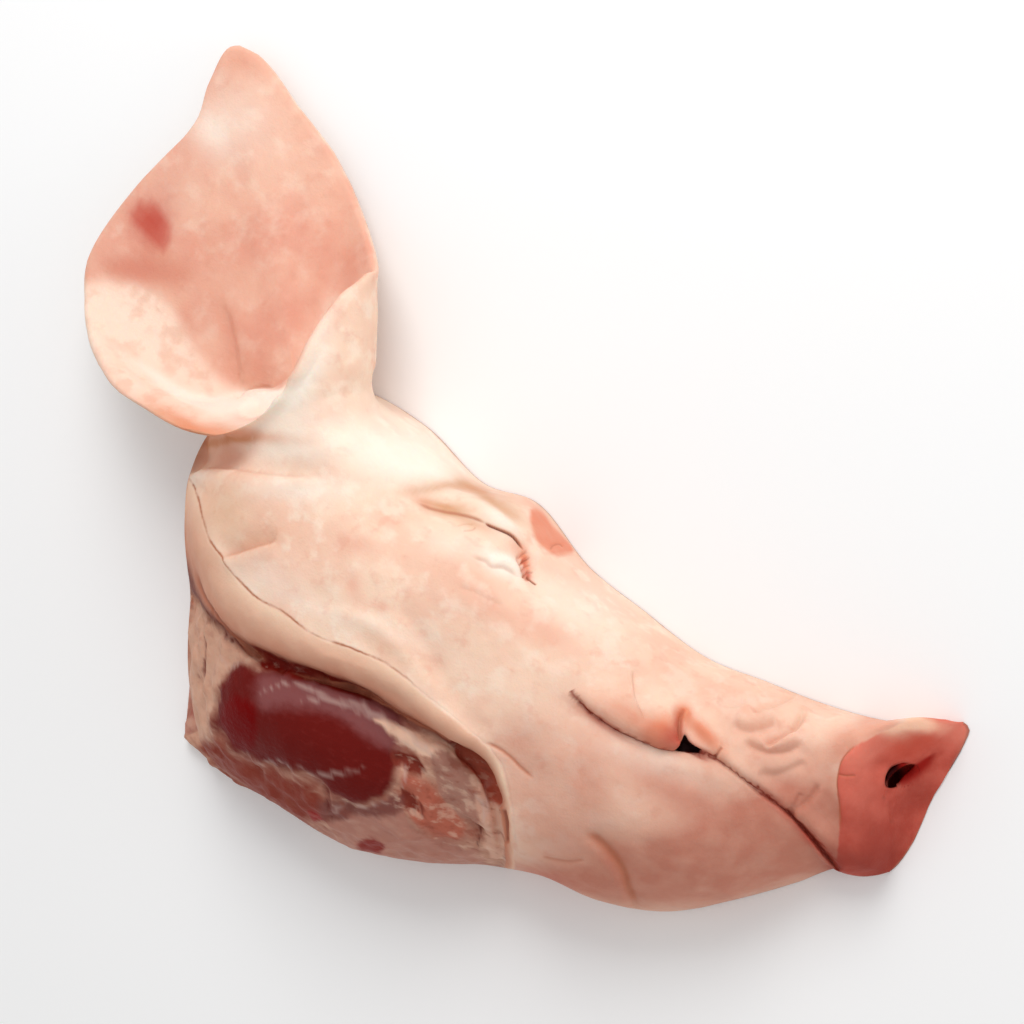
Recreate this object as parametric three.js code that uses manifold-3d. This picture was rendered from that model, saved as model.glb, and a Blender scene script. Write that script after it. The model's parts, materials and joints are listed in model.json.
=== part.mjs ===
import * as THREE from 'three';
import { LoftGeometry } from 'three/addons/geometries/LoftGeometry.js';
import { mergeVertices } from 'three/addons/utils/BufferGeometryUtils.js';
import Module from 'manifold-3d';

// Right half of a pig's head, sawn down the middle and lying on the sawn face (z = 0).
// Millimetres. +X runs from the neck to the snout, +Y to the forehead, +Z out of the cheek.
// Places are measured from a point inside the head. ORIGIN is the middle of the whole box there.
const ORIGIN = [-13.98, -21.45];

// The sawn face's outline, from the neck to the snout: forehead side, throat side and
// how far the cheek stands above the face between them.
const FOREHEAD = [
  [-146, -24], [-126, -1], [-99, 12], [-62, 11], [-28, 1], [0, 4], [32, -12],
  [62, -15], [95, -20], [123, -16], [148, -13], [170, -8.5], [188, -2], [207, 5],
];
const THROAT = [
  [-100, -157], [-82, -167], [-51, -165], [-13, -163], [21, -158], [50, -140], [79, -131],
  [105, -129], [130, -120], [152, -102.5], [170, -85.5], [186, -70], [200, -66], [208, -60],
];
const CHEEK_HEIGHT = [47, 65, 78, 84, 84, 79, 72, 63, 54, 47, 42, 38, 37, 38];
// How square each section is: 2 is an ellipse
const SECTION_POWER = [2.6, 2.7, 2.6, 2.3, 2.3, 3.1];
// Heights over which the relief of the cheek fades in, so that the sawn face keeps its outline
const RELIEF_FADE = [2, 30];

// Snout disc: its outer part lies back by the sweep, and its rim flares past a groove.
// Shares are of the way from the neck to the snout.
const DISC_HEIGHT = 38;
const DISC_SWEEP = 30;
const SWEEP_START = 0.8;
const SWEEP_POWER = 1.3;
const RIM_FLARE = 3;
const RIM_SHARES = [0.95, 0.985];
const GROOVE_SHARE = 0.94;
const GROOVE_REACH = 0.018;
const NOSTRIL = [194, -21, 20];
const NOSTRIL_HALF = [7, 5];
const NOSTRIL_DEPTH = 13;
// Rings of the disc from its edge to the nostril's floor: size against the edge, how far the
// ring is the nostril's oval instead, and depth
const DISC_ROWS = [
  { size: 0.93, round: 0, depth: -1.5 },
  { size: 0.84, round: 0, depth: 0 },
  { size: 0.45, round: 0.4, depth: 0 },
  { size: 0.3, round: 1, depth: 1 },
  { size: 0.3, round: 1, depth: 6 },
  { size: 0.1, round: 0.9, depth: NOSTRIL_DEPTH },
];

// The line of sight of someone looking down at the cheek. A place in PLAN is where that line,
// through a point of the skin, meets the floor.
const SIGHT = new THREE.Vector3(462, 202, 1169);

// The jowl is cut away: the skin's cut edge, the lower edge of the fat under it, and the cuts' depths
const SKIN_EDGE_PLAN = [
  [-185, -53], [-156, -62], [-141, -77], [-127, -86], [-117, -92], [-97, -97], [-77, -99],
  [-61, -98], [-36, -94], [-4, -94], [17, -99], [32, -105], [45, -127], [58, -154],
];
const FAT_EDGE_PLAN = [
  [-173, -77], [-143, -93], [-130, -106], [-106, -114], [-86, -115], [-56, -108], [-29, -103],
  [-6, -109], [12, -111], [23, -112], [31, -118], [40, -132], [50, -156],
];
const JOWL_DEPTH = 15;
const CREVICE_DEPTH = 4;
const CREVICE_WIDTH = 6;

// The mouth's line, from its corner to the front of the lower lip
const MOUTH_PLAN = [[52, -62], [75, -65], [96, -62], [104, -59], [127, -58], [155, -60], [183, -70]];
const MOUTH_DEPTH = 8;
const MOUTH_WIDTH = 5;

// Mounds and hollows of the cheek: place in PLAN, reach along and across, turn in degrees, height
const MOUNDS = [
  { at: [-22, -3], reach: [30, 9], turn: -4, height: 5 },
  { at: [-18, -18], reach: [26, 7], turn: -6, height: -4 },
  { at: [0, -44], reach: [40, 16], turn: -8, height: 4 },
  { at: [78, -52], reach: [24, 9], turn: 0, height: 4 },
  { at: [100, -92], reach: [60, 20], turn: -12, height: 5 },
  { at: [-136, -38], reach: [22, 9], turn: 20, height: -9 },
  { at: [-110, -6], reach: [26, 20], turn: 20, height: 13 },
  { at: [-60, -138], reach: [46, 20], turn: -4, height: 8 },
  { at: [20, -128], reach: [14, 12], turn: 0, height: -5 },
];

// Ear: its rim from the tip round the front edge, over the canal and back along the lower edge.
// A share of the rim is a point's number over their count.
const EAR_RIM = [
  [-218, 123, 11], [-203, 122, 11], [-178, 110, 12], [-153, 99, 13], [-129, 85, 15], [-102, 68, 32],
  [-97, 63, 48], [-99, 50, 60], [-99, 32, 68], [-98, 16, 72], [-100, 4, 73], [-103, -9, 74],
  [-113, -20, 74], [-132, -26, 73], [-155, -27, 68], [-180, -26, 60], [-203, -17, 48], [-227, 1, 34],
  [-235, 19, 27], [-231, 50, 20], [-218, 84, 16], [-220, 105, 13],
];
// Where the ear's front skin meets the head, from the forehead round to the cheek
const EAR_BASE = [[-78, 22, 26], [-73, 16, 50], [-83, 2, 64], [-100, -13, 62], [-111, -21, 56]];
const BASE_SHARES = [5 / EAR_RIM.length, 12 / EAR_RIM.length];
const BASE_BLEND = [-0.05, 0.04];
// The bowl's depth, the steep wall on the neck side, and the front edge that hoods the canal
const BOWL_DEPTH = 6;
const WALL = { share: 15 / EAR_RIM.length, reach: 0.2, depth: 10, steeper: 1.6, away: [-0.4, -0.4, 0] };
const HOOD = { share: 8 / EAR_RIM.length, reach: 0.09, depth: 4, steeper: 1, shift: [14, 5, 0] };
const HOOD_AWAY = new THREE.Vector3(1, 0.2, -0.2);
const EAR_CANAL = [-104, 6, 46];
const EAR_ROOT = [-80, -12, 24];
const EAR_THICKNESS = 6;
const EAR_FLESH = 9;
const EAR_FOOT = 0.35;

// Steps of the surfaces
const HEAD_STEPS = 74;
const SIDE_STEPS = [20, 4, 18];
const FACE_STEPS = 2;
const EAR_STEPS = 48;
const BOWL_STEPS = 9;
const CROSSING_STEP = 0.01;
const SLIT_STEP = 0.08;
// Shares of the way from the neck to the snout where the cut, the mouth and the disc end or start
const JOWL_SHARE = 0.42;
const MOUTH_SHARE = 0.54;
const DISC_SHARE = 0.87;

const SKIN = { color: 0xf0d2bc, roughness: 0.5, metalness: 0 };

const wasm = await Module();
wasm.setup();

// 0 below low, 1 above high, and a smooth step between them
function ease(value, low, high) {
  return THREE.MathUtils.smoothstep(value, low, high);
}

// A bell of height 1 around 0
function bell(distance, reach) {
  return Math.exp(-((distance / reach) ** 2));
}

function planCurve(points) {
  return new THREE.SplineCurve(points.map(([x, y]) => new THREE.Vector2(x, y)));
}

const forehead = planCurve(FOREHEAD);
const throat = planCurve(THROAT);
const heights = planCurve(CHEEK_HEIGHT.map((height, i) => [i, height]));
const powers = planCurve(SECTION_POWER.map((power, i) => [i, power]));
const skinEdge = planCurve(SKIN_EDGE_PLAN).getPoints(60);
const fatEdge = planCurve(FAT_EDGE_PLAN).getPoints(60);
const mouth = planCurve(MOUTH_PLAN).getPoints(40);

// Where the line of sight through a point meets the floor
function seen(point) {
  const reach = SIGHT.z / (SIGHT.z - point.z);
  return new THREE.Vector2(
    SIGHT.x + (point.x - SIGHT.x) * reach,
    SIGHT.y + (point.y - SIGHT.y) * reach,
  );
}

// Distance from a place to a run of points, positive on the right of the way it runs
function distanceTo(points, place) {
  let nearest = Infinity;
  let side = 1;
  for (let i = 0; i + 1 < points.length; i += 1) {
    const along = points[i + 1].clone().sub(points[i]);
    const offset = place.clone().sub(points[i]);
    const share = THREE.MathUtils.clamp(offset.dot(along) / along.lengthSq(), 0, 1);
    const distance = offset.clone().addScaledVector(along, -share).length();
    if (distance < nearest) {
      nearest = distance;
      side = along.cross(offset) > 0 ? -1 : 1;
    }
  }
  return nearest * side;
}

// How far all the mounds together lift a place
function mounds(place) {
  return MOUNDS.reduce((sum, { at, reach, turn, height }) => {
    const local = place.clone().sub(new THREE.Vector2(...at));
    local.rotateAround(new THREE.Vector2(), -THREE.MathUtils.degToRad(turn));
    return sum + height * bell(local.x, reach[0]) * bell(local.y, reach[1]);
  }, 0);
}

// How far the cut jowl lies below the skin: a slope across the fat, then the crevice under it
function jowlCut(place) {
  const pastSkin = distanceTo(skinEdge, place);
  const pastFat = distanceTo(fatEdge, place);
  if (pastSkin <= 0) return 0;
  const slope = pastFat > 0 ? 1 : pastSkin / (pastSkin - pastFat);
  return JOWL_DEPTH * slope ** 1.5 + CREVICE_DEPTH * bell(pastFat - CREVICE_WIDTH / 2, CREVICE_WIDTH);
}

// A point of the cheek before its relief: s runs from the neck to the snout, t from the forehead
// to the throat
function barePoint(s, t) {
  const front = forehead.getPoint(s);
  const back = throat.getPoint(s);
  const power = powers.getPoint(s).y;
  const [level, upright] = [Math.cos(Math.PI * t), Math.sin(Math.PI * t)];
  const radius = (Math.abs(level) ** power + upright ** power) ** (-1 / power);
  const groove = bell(s - GROOVE_SHARE, GROOVE_REACH);
  const flare = 1 + RIM_FLARE * (ease(s, ...RIM_SHARES) - groove) / DISC_HEIGHT;
  const place = front.lerp(back, (1 - radius * level * flare) / 2);
  const height = heights.getPoint(s).y * radius * upright * flare;
  const sweep = DISC_SWEEP * ease(s, SWEEP_START, 1) * (height / DISC_HEIGHT) ** SWEEP_POWER;
  return new THREE.Vector3(place.x - sweep, place.y, height);
}

function cheekPoint(s, t) {
  const point = barePoint(s, t);
  const place = seen(point);
  const slit = MOUTH_DEPTH * bell(distanceTo(mouth, place), MOUTH_WIDTH);
  point.z += (mounds(place) - slit - jowlCut(place)) * ease(point.z, ...RELIEF_FADE);
  return point;
}

// The share t at which a ring of the cheek crosses a curve
function crossing(curve, s) {
  let before = 0;
  for (let t = CROSSING_STEP; t < 1; t += CROSSING_STEP) {
    const past = distanceTo(curve, seen(barePoint(s, t)));
    if (past > 0 && before < 0) return t - CROSSING_STEP * past / (past - before);
    before = past;
  }
  return 0.5;
}

// Two shares t that lie on the jowl's cut edges, or on the mouth's line and beside it
function edgeShares(s) {
  if (s <= JOWL_SHARE) return [crossing(skinEdge, s), crossing(fatEdge, s)];
  if (s >= MOUTH_SHARE) {
    const slit = crossing(mouth, Math.min(s, DISC_SHARE));
    return [slit, slit + SLIT_STEP];
  }
  const [jowl, lips] = [edgeShares(JOWL_SHARE), edgeShares(MOUTH_SHARE)];
  const blend = (s - JOWL_SHARE) / (MOUTH_SHARE - JOWL_SHARE);
  return jowl.map((share, i) => THREE.MathUtils.lerp(share, lips[i], blend));
}

// The shares t of a ring's points, so that its lines follow the edges
function ringShares(s) {
  const [first, second] = edgeShares(s);
  const spread = (from, to, steps) => Array.from({ length: steps }, (_, i) => from + (to - from) * i / steps);
  const [upper, band, lower] = SIDE_STEPS;
  return [...spread(0, first, upper), ...spread(first, second, band), ...spread(second, 1, lower), 1];
}

// One ring of the head: the cheek from forehead to throat, then back along the sawn face
function headRing(s) {
  const ring = ringShares(s).map((t) => cheekPoint(s, t));
  const [start, end] = [ring.at(-1), ring[0]];
  for (let i = 1; i < FACE_STEPS; i += 1) ring.push(start.clone().lerp(end, i / FACE_STEPS));
  return ring;
}

// Rings that close the snout: a rounded rim, the disc's face, and the nostril's blind pit
function discRings(edge) {
  const nostril = new THREE.Vector3(...NOSTRIL);
  const inward = new THREE.Vector3(-DISC_HEIGHT, 0, -DISC_SWEEP).normalize();
  const upward = new THREE.Vector3(-DISC_SWEEP, 0, DISC_HEIGHT).normalize();
  return DISC_ROWS.map(({ size, round, depth }) => edge.map((point) => {
    const arm = point.clone().sub(nostril);
    const angle = Math.atan2(arm.dot(upward), arm.y);
    const oval = upward.clone().multiplyScalar(Math.sin(angle) * NOSTRIL_HALF[1]);
    oval.y = Math.cos(angle) * NOSTRIL_HALF[0];
    return arm.multiplyScalar(size).lerp(oval, round).add(nostril).addScaledVector(inward, depth);
  }));
}

// How much of a feature of the rim, 0 to 1, is at a share u of it
function near(u, { share, reach }) {
  return bell(THREE.MathUtils.euclideanModulo(u - share + 0.5, 1) - 0.5, reach);
}

// The ear's concave side: u runs along the rim, w from the canal out to the rim
function bowlPoint(rim, u, w) {
  const edge = rim.getPoint(u);
  const [wall, hood] = [near(u, WALL), near(u, HOOD)];
  const point = new THREE.Vector3(...EAR_CANAL).lerp(edge, w);
  const canalHeight = EAR_CANAL[2];
  const arch = Math.sin(Math.PI * w);
  const depth = (BOWL_DEPTH + WALL.depth * wall + HOOD.depth * hood) * (1 - w / 2);
  const power = 1 + WALL.steeper * wall + HOOD.steeper * hood;
  point.z = canalHeight + (edge.z - canalHeight) * w ** power - depth * arch;
  return point.addScaledVector(new THREE.Vector3(...HOOD.shift), hood * arch);
}

// The ear's other side, a flesh thickness behind the first. In front it runs down to the base
// instead, and all of it closes on a point inside the head
function backPoint(rim, base, u, w) {
  const away = new THREE.Vector3(...WALL.away).multiplyScalar(near(u, WALL));
  away.z = -1;
  away.lerp(HOOD_AWAY, near(u, HOOD)).normalize();
  const behind = bowlPoint(rim, u, w).addScaledVector(away, EAR_THICKNESS + EAR_FLESH * (1 - w));
  const [first, last] = BASE_SHARES;
  const foot = base.getPoint(THREE.MathUtils.clamp((u - first) / (last - first), 0, 1));
  const front = rim.getPoint(u).addScaledVector(away, EAR_THICKNESS);
  front.lerp(foot, Math.min((1 - w) / (1 - EAR_FOOT), 1));
  behind.lerp(front, ease(last - u, ...BASE_BLEND) * ease(u - first, ...BASE_BLEND));
  return new THREE.Vector3(...EAR_ROOT).lerp(behind, ease(w, 0, EAR_FOOT));
}

function earRings() {
  const rim = new THREE.CatmullRomCurve3(
    EAR_RIM.map((place) => new THREE.Vector3(...place)), true, 'catmullrom', 0.5);
  const base = new THREE.CatmullRomCurve3(
    EAR_BASE.map((place) => new THREE.Vector3(...place)), false, 'catmullrom', 0.5);
  const ring = (place) => Array.from({ length: EAR_STEPS }, (_, i) => place(i / EAR_STEPS));
  const rings = [];
  for (let i = 1; i <= BOWL_STEPS; i += 1) {
    rings.push(ring((u) => bowlPoint(rim, u, i / BOWL_STEPS)));
  }
  for (let i = BOWL_STEPS; i >= 1; i -= 1) rings.push(ring((u) => backPoint(rim, base, u, i / BOWL_STEPS)));
  return rings;
}

// The mean of a ring's points
function middle(ring) {
  const sum = ring.reduce((total, point) => total.add(point), new THREE.Vector3());
  return sum.divideScalar(ring.length);
}

// Turns a run of rings into a solid whose two ends close on a point each
function solid(rings, start = middle(rings[0]), end = middle(rings.at(-1))) {
  const collapsed = (point) => rings[0].map(() => point.clone());
  const loft = new LoftGeometry([collapsed(start), ...rings, collapsed(end)]);
  const bare = new THREE.BufferGeometry();
  bare.setAttribute('position', loft.attributes.position);
  bare.setIndex(loft.index);
  const merged = mergeVertices(bare, 1e-4);
  const corners = Array.from(merged.index.array);
  const triangles = [];
  for (let i = 0; i < corners.length; i += 3) {
    const triangle = corners.slice(i, i + 3);
    if (new Set(triangle).size === 3) triangles.push(...triangle);
  }
  return new wasm.Manifold(new wasm.Mesh({
    numProp: 3,
    vertProperties: new Float32Array(merged.attributes.position.array),
    triVerts: new Uint32Array(triangles),
  }));
}

function toGeometry(body) {
  const mesh = body.getMesh();
  const geometry = new THREE.BufferGeometry();
  geometry.setAttribute('position', new THREE.BufferAttribute(mesh.vertProperties, 3));
  geometry.setIndex(new THREE.BufferAttribute(mesh.triVerts, 1));
  geometry.translate(-ORIGIN[0], -ORIGIN[1], 0);
  geometry.computeVertexNormals();
  return geometry;
}

const headSections = Array.from({ length: HEAD_STEPS + 1 }, (_, i) => headRing(i / HEAD_STEPS));
const head = solid([...headSections, ...discRings(headSections[HEAD_STEPS])]);
const ear = solid(earRings(), new THREE.Vector3(...EAR_CANAL), new THREE.Vector3(...EAR_ROOT));

const pigHead = new THREE.Mesh(toGeometry(head.add(ear)), new THREE.MeshStandardMaterial(SKIN));
pigHead.name = 'pig_head';
const group = new THREE.Group();
group.add(pigHead);
export default group;
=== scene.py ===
"""Right half of a frozen pig's head on its sawn face: skin, ear, snout disc and cut jowl, one surface."""
import bpy
import json
import math
import numpy as np
from mathutils import Matrix, Vector

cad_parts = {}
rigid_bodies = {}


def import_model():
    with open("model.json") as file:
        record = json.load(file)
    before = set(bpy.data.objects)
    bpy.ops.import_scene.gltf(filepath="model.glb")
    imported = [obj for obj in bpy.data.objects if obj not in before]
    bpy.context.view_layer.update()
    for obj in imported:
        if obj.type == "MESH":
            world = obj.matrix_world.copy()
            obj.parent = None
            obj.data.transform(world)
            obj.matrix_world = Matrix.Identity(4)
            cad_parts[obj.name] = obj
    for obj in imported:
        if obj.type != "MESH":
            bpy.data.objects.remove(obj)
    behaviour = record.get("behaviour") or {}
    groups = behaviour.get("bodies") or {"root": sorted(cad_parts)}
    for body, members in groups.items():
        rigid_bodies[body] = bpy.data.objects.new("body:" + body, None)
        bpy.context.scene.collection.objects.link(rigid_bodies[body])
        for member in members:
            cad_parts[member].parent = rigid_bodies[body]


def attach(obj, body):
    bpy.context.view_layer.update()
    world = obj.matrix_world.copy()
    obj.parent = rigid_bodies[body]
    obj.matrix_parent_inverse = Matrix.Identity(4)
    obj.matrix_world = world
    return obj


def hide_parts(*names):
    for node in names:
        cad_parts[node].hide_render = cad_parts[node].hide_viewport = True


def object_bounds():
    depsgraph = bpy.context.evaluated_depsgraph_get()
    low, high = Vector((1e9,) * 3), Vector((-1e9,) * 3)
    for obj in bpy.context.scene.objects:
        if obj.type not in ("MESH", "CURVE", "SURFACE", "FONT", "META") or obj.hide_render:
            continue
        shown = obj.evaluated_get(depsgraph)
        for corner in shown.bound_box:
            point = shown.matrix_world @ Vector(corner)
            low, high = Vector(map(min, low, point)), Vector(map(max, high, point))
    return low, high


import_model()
cad_low, cad_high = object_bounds()

# The drawing's own frame is in millimetres, and ORIGIN is the middle of the whole box's foot in it.
MM = 0.001
ORIGIN = np.array([-13.98, -21.45, 0.0])

# The photograph's camera: how far it leans to the snout and to the forehead, how far the
# head's axis drops below the frame's right, its distance and its scale.
FRAME_PIXELS = 1024
SENSOR = 36.0
SNOUT_LEAN = math.radians(22)
FOREHEAD_LEAN = math.radians(10)
AXIS_DROP = math.radians(28)
DISTANCE = 1250.0
PIXELS_PER_MM = 2.4
LOOK_AT = np.array([0.0, 0.0, 25.0])

# The sawn face's outline from the neck to the snout, the cheek's height over it, the power of its
# sections, and the heights between which its relief fades in
FOREHEAD = [(-146, -24), (-126, -1), (-99, 12), (-62, 11), (-28, 1), (0, 4), (32, -9.5),
            (62, -15), (95, -20), (123, -17), (148, -14), (170, -9.5), (188, -3), (204.3, 6.3)]
THROAT = [(-100, -157), (-83, -167), (-51, -166.5), (-13, -166), (21, -155), (50, -141), (79, -131),
          (105, -129), (130, -120), (152, -102.5), (170, -85.5), (184, -70.5), (194, -69),
          (203.5, -61.5)]
CHEEK_HEIGHT = [47, 65, 78, 84, 84, 79, 72, 63, 54, 47, 42, 38, 36, 35]
SECTION_POWER = [2.6, 2.7, 2.6, 2.3, 2.3, 3.1]
RELIEF_FADE = (2, 30)

# Foot of the neck's lower corner: how far it stands out in plan, over which share of the length and of
# the width, and up to which height
NECK_TOE = (-8, -6)
TOE_REACH = (0.05, 0.22, 26)

# Snout disc: its height, how far its top stands back, the same across it from the forehead, and
# where along the head and with which power of the height that starts
DISC_HEIGHT = 36
DISC_SWEEP = 28
SWEEP_ACROSS = [23, 26, 29, 27.5, 24, 22, 20]
SWEEP_START = 0.66
SWEEP_POWER = 1.3
# How far the disc's cut edge stands before the straight line between its corners, from where along
# the head, and up to which height
DISC_BULGE = [0, 3.4, 4.0, 4.0, 3.0, 2.3, 3.0, 3.1, 2.3, 1.0, 0]
BULGE_SPAN = (0.95, 1)
BULGE_HEIGHT = 22
# Nostril: its place, the half sizes of its oval and their turn; the heights of the disc's edge
# between which the roll inside it fades in
NOSTRIL = np.array([194.1, -21.9, 14.6])
NOSTRIL_HALF = (6.7, 3.2)
NOSTRIL_TURN = math.radians(-37)
RIM_FADE = (1, 8)
# Rings of the disc from its edge to the nostril's floor: size, share of the oval, depth
DISC_ROWS = [(1.0, 0, 0), (0.95, 0, -0.9), (0.88, 0, -1.5), (0.76, 0, -1.2), (0.62, 0.05, -0.3),
             (0.48, 0.3, 0), (0.36, 0.8, -0.4), (0.3, 1, 0.2), (0.3, 1, 2.5), (0.3, 1, 6),
             (0.22, 1, 10), (0.12, 0.95, 12.5), (0.03, 0.9, 13)]

# The jowl's cut edges and the mouth, in the photograph's pixels
SKIN_EDGE = [(120, 440), (150, 456), (172, 466), (187, 476), (198, 497), (205, 527), (212, 545),
             (222, 558), (233, 573), (255, 597), (281, 610), (300, 625), (320, 637), (355, 650),
             (385, 662), (412, 682), (440, 706), (468, 728), (489, 747), (503, 768), (510, 795),
             (513, 822), (515, 850), (516, 890)]
FAT_EDGE = [(120, 470), (160, 510), (178, 540), (188, 563), (197, 590), (208, 610), (232, 632), (255, 646),
            (292, 662), (335, 676), (370, 690), (405, 712), (445, 735), (470, 748), (484, 762), (494, 778),
            (501, 800), (504, 822), (507, 850), (508, 890)]
# Shares of the skin's edge over which its brown line fades out
LINE_FADE = (0.6, 0.7)
# The cut below the skin: drop of the fat band to its edge and that drop's power; drop of the wall
# at the fat's edge and its span; depth, place and reach of the crevice at the wall's foot, in mm
BAND_DROP = 8
BAND_POWER = 3.0
WALL_DROP = 7
WALL_SPAN = (-0.8, 2.0)
CREVICE_DEPTH = 2
CREVICE_PLACE = 2.8
CREVICE_REACH = 2.2
# Along the fat's edge: reach in mm of the band's darker lower part
SHADE_REACH = [17, 17, 17, 17, 15, 12, 9, 4, 4, 4]
SHADE_POWER = 0.75
# Reaches from where the shade starts, one before the edge, to where it is full
SHADE_FULL = 1.1
# Dark red line along the wall's foot, partly the tissue's own dark red and partly painted shade under
# the fat's wall: its place past the fat's edge and half width in mm, and the shares of the edge over
# which it fades out
FOOT = (1.2, 1.5)
FOOT_FADE = (0.72, 0.82)
MOUTH = [(570, 690), (578, 700), (595, 714), (618, 729), (640, 739), (660, 746), (680, 751), (698, 753),
         (714, 757), (731, 769), (760, 791), (786, 810), (803, 826), (820, 846), (838, 868)]
# How far the cut jowl is pulled aside in plan, as its lowered surface shows further to the frame's
# right, and the distances past the skin's edge between which that grows, in mm
JOWL_PULL = (9.7, 4.7)
JOWL_PULL_SPAN = (0, 30)
# The mouth's slit, the roll of the upper lip above it and the lower lip's slope: height, distance
# from the line and reach; then the shares of the mouth between which they fade in
SLIT = (-4, 0.2, 1.1)
UPPER_ROLL = (1.4, -3.5, 3.5)
LOWER_SLOPE = (-0.9, 2.5, 3)
MOUTH_FADE = (0.0, 0.1)
# Half width of the mouth's dark line in mm, partly the lips' own crusted red-brown and partly painted
# shade in the slit, and strength of its slit, along the mouth
MOUTH_WIDTH = [0.9, 1.2, 1.0, 0.7, 0.5, 0.45, 0.5, 0.6, 0.9, 1.4]
MOUTH_STRENGTH = [0.5, 0.5, 0.4, 0.35, 0.4, 0.45, 0.55, 0.8, 1.2, 1.6]
# Strength of the lips' roll and slope along the mouth
LIP_STRENGTH = [0.8, 1.7, 2.0, 1.7, 1.1, 0.7, 0.8, 0.9, 1.2, 1.6]
# How far the dark line strays and the size of its waves, in mm, and the share at which it starts
MOUTH_STRAY = 0.85
MOUTH_WAVE = 1.6
MOUTH_START = 0.01

# Mounds and hollows of the cheek: place in plan, reach along and across, turn in degrees, height
MOUNDS = [
    ((-22, -3), (30, 9), -4, 5),
    ((-18, -18), (26, 7), -6, -4),
    ((0, -44), (40, 16), -8, 4),
    ((78, -52), (24, 9), 0, 4),
    ((100, -92), (60, 20), -12, 5),
    ((-136, -38), (22, 9), 20, -9),
    ((-110, -6), (26, 20), 20, 13),
    ((-60, -138), (46, 20), -4, 8),
    ((20, -128), (14, 12), 0, -5),
]

# Ear: places round its rim, and along the foot of its front between two shares of the rim; how far
# past each of those shares the front fades in, as shares
EAR_RIM = [(-219.7, 122.6, 11), (-202.4, 123.3, 11), (-177.2, 111.7, 12), (-152.2, 100.7, 13),
           (-129, 85, 15), (-102, 68, 32), (-97, 63, 48), (-99, 50, 60), (-99, 32, 68), (-98, 16, 72),
           (-100, 4, 73), (-103, -9, 74), (-113, -20, 74), (-132, -26, 73), (-155, -27, 68),
           (-180, -26, 60), (-203, -17, 48), (-227, 1, 34), (-235, 19, 27), (-231, 50, 20),
           (-219, 84, 16), (-221.7, 104.8, 13)]
EAR_BASE = [(-78, 22, 26), (-73, 16, 50), (-83, 2, 64), (-100, -13, 62), (-111, -21, 56)]
BASE_SHARES = (5 / 22, 12 / 22)
BASE_BLEND = (-0.05, 0.04)
# Depth of the bowl, and the wall on its neck side and the hood in front: share of the rim, reach,
# added depth and steepness; how far the hood leans over; and which way the ear's back lies from them
BOWL_DEPTH = 6
WALL_SHARE, WALL_REACH, WALL_DEPTH, WALL_STEEPER = 15 / 22, 0.2, 10, 1.6
WALL_AWAY = np.array([-0.4, -0.4, 0.0])
HOOD_SHARE, HOOD_REACH, HOOD_DEPTH, HOOD_STEEPER = 8 / 22, 0.09, 4, 1
HOOD_SHIFT = np.array([14.0, 5.0, 0.0])
HOOD_AWAY = np.array([1.0, 0.2, -0.2])
# The canal's bottom, the ear's root inside the head, the ear's thickness at its rim and what the
# flesh adds inwards; the share of the way at which its back turns in to the root, and the one from
# which the two sides round into the rim
EAR_CANAL = np.array([-104.0, 6.0, 46.0])
EAR_ROOT = np.array([-80.0, -12.0, 24.0])
EAR_THICKNESS = 6
EAR_FLESH = 9
EAR_FOOT = 0.35
LIP_START = 0.7

# Steps of the surfaces, and the crowding of the columns below the mouth
HEAD_ROWS = 280
SIDE_COLUMNS = (74, 22, 54)
FACE_COLUMNS = 18
DISC_STEPS = 40
NECK_STEPS = 8
EAR_COLUMNS = 160
BOWL_ROWS = 38
LIP_ROWS = 6
BACK_ROWS = 22
LOWER_CROWDING = 1.15
# Shares of the head's length where the columns leave the jowl's edges, reach the mouth and leave it,
# the distance between the two at the mouth, and the steps in which they are looked for
JOWL_SHARE, MOUTH_SHARE, DISC_SHARE = 0.42, 0.54, 0.87
SLIT_STEP = 0.08
CROSSING_STEPS = 120

# Kinds of face, kept as material numbers while the surfaces are joined
FLESH, SAWN, NECK, DISC, BOWL, EAR_OUTSIDE = range(6)

# Faces are split in four within these distances of a crease's line, in mm, one after the other, if
# the crease is narrower than these widths; shares of the distance that count for the mouth's line and
# for the throat's hole; least height, and least turn to the camera as a cosine
FINE_REACHES = (2.25, 1.15)
FINE_WIDTHS = (2.3, 1.25)
MOUTH_FINE = 0.75
HOLE_FINE = 0.6
FINE_HEIGHT = 3
FINE_TURN = 0.1
# Joint between the ear and the head: reach of its smoothing in mm, the share of it where that is
# full, its weight and its passes
JOINT_REACH = 18
JOINT_FULL = 0.3
JOINT_WEIGHT = 0.7
JOINT_PASSES = 130
# Rounding of the snout disc's edge: reach in mm, weight, passes, and the height above which it's full;
# passes that even out the disc inside its edge
RIM_REACH = 7
RIM_WEIGHT = 0.6
RIM_PASSES = 12
RIM_HEIGHT = 5
DISC_PASSES = 40
# Reach in each direction within which the nostril isn't smoothed, and where that fades, in reaches
NOSTRIL_CLEAR = (8, 10, 8)
NOSTRIL_FADE = 1.5
# Random waves, each with a size and a height in mm: those that warp the borders of areas and tones,
# with their strength on skin and what the cut adds, and the relief of the cut and of the skin
WARP_WAVES = ((9, 1.0), (3, 0.5))
WARP_SHIFT = 40
WARP_SKIN, WARP_CUT = 0.5, 1.1
CUT_WAVES = ((8, 1.8), (4, 1.1))
CUT_SINK = 0.8
SKIN_WAVES = ((9, 0.45), (4, 0.2))
# The muscle's relief is smoother by this share, from its border to some mm inside
MUSCLE_SMOOTH = (0.8, 3)
# Distances in mm past the fat's edge between which the relief of the cut fades in
CUT_SPAN = (0.5, 3)
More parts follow.
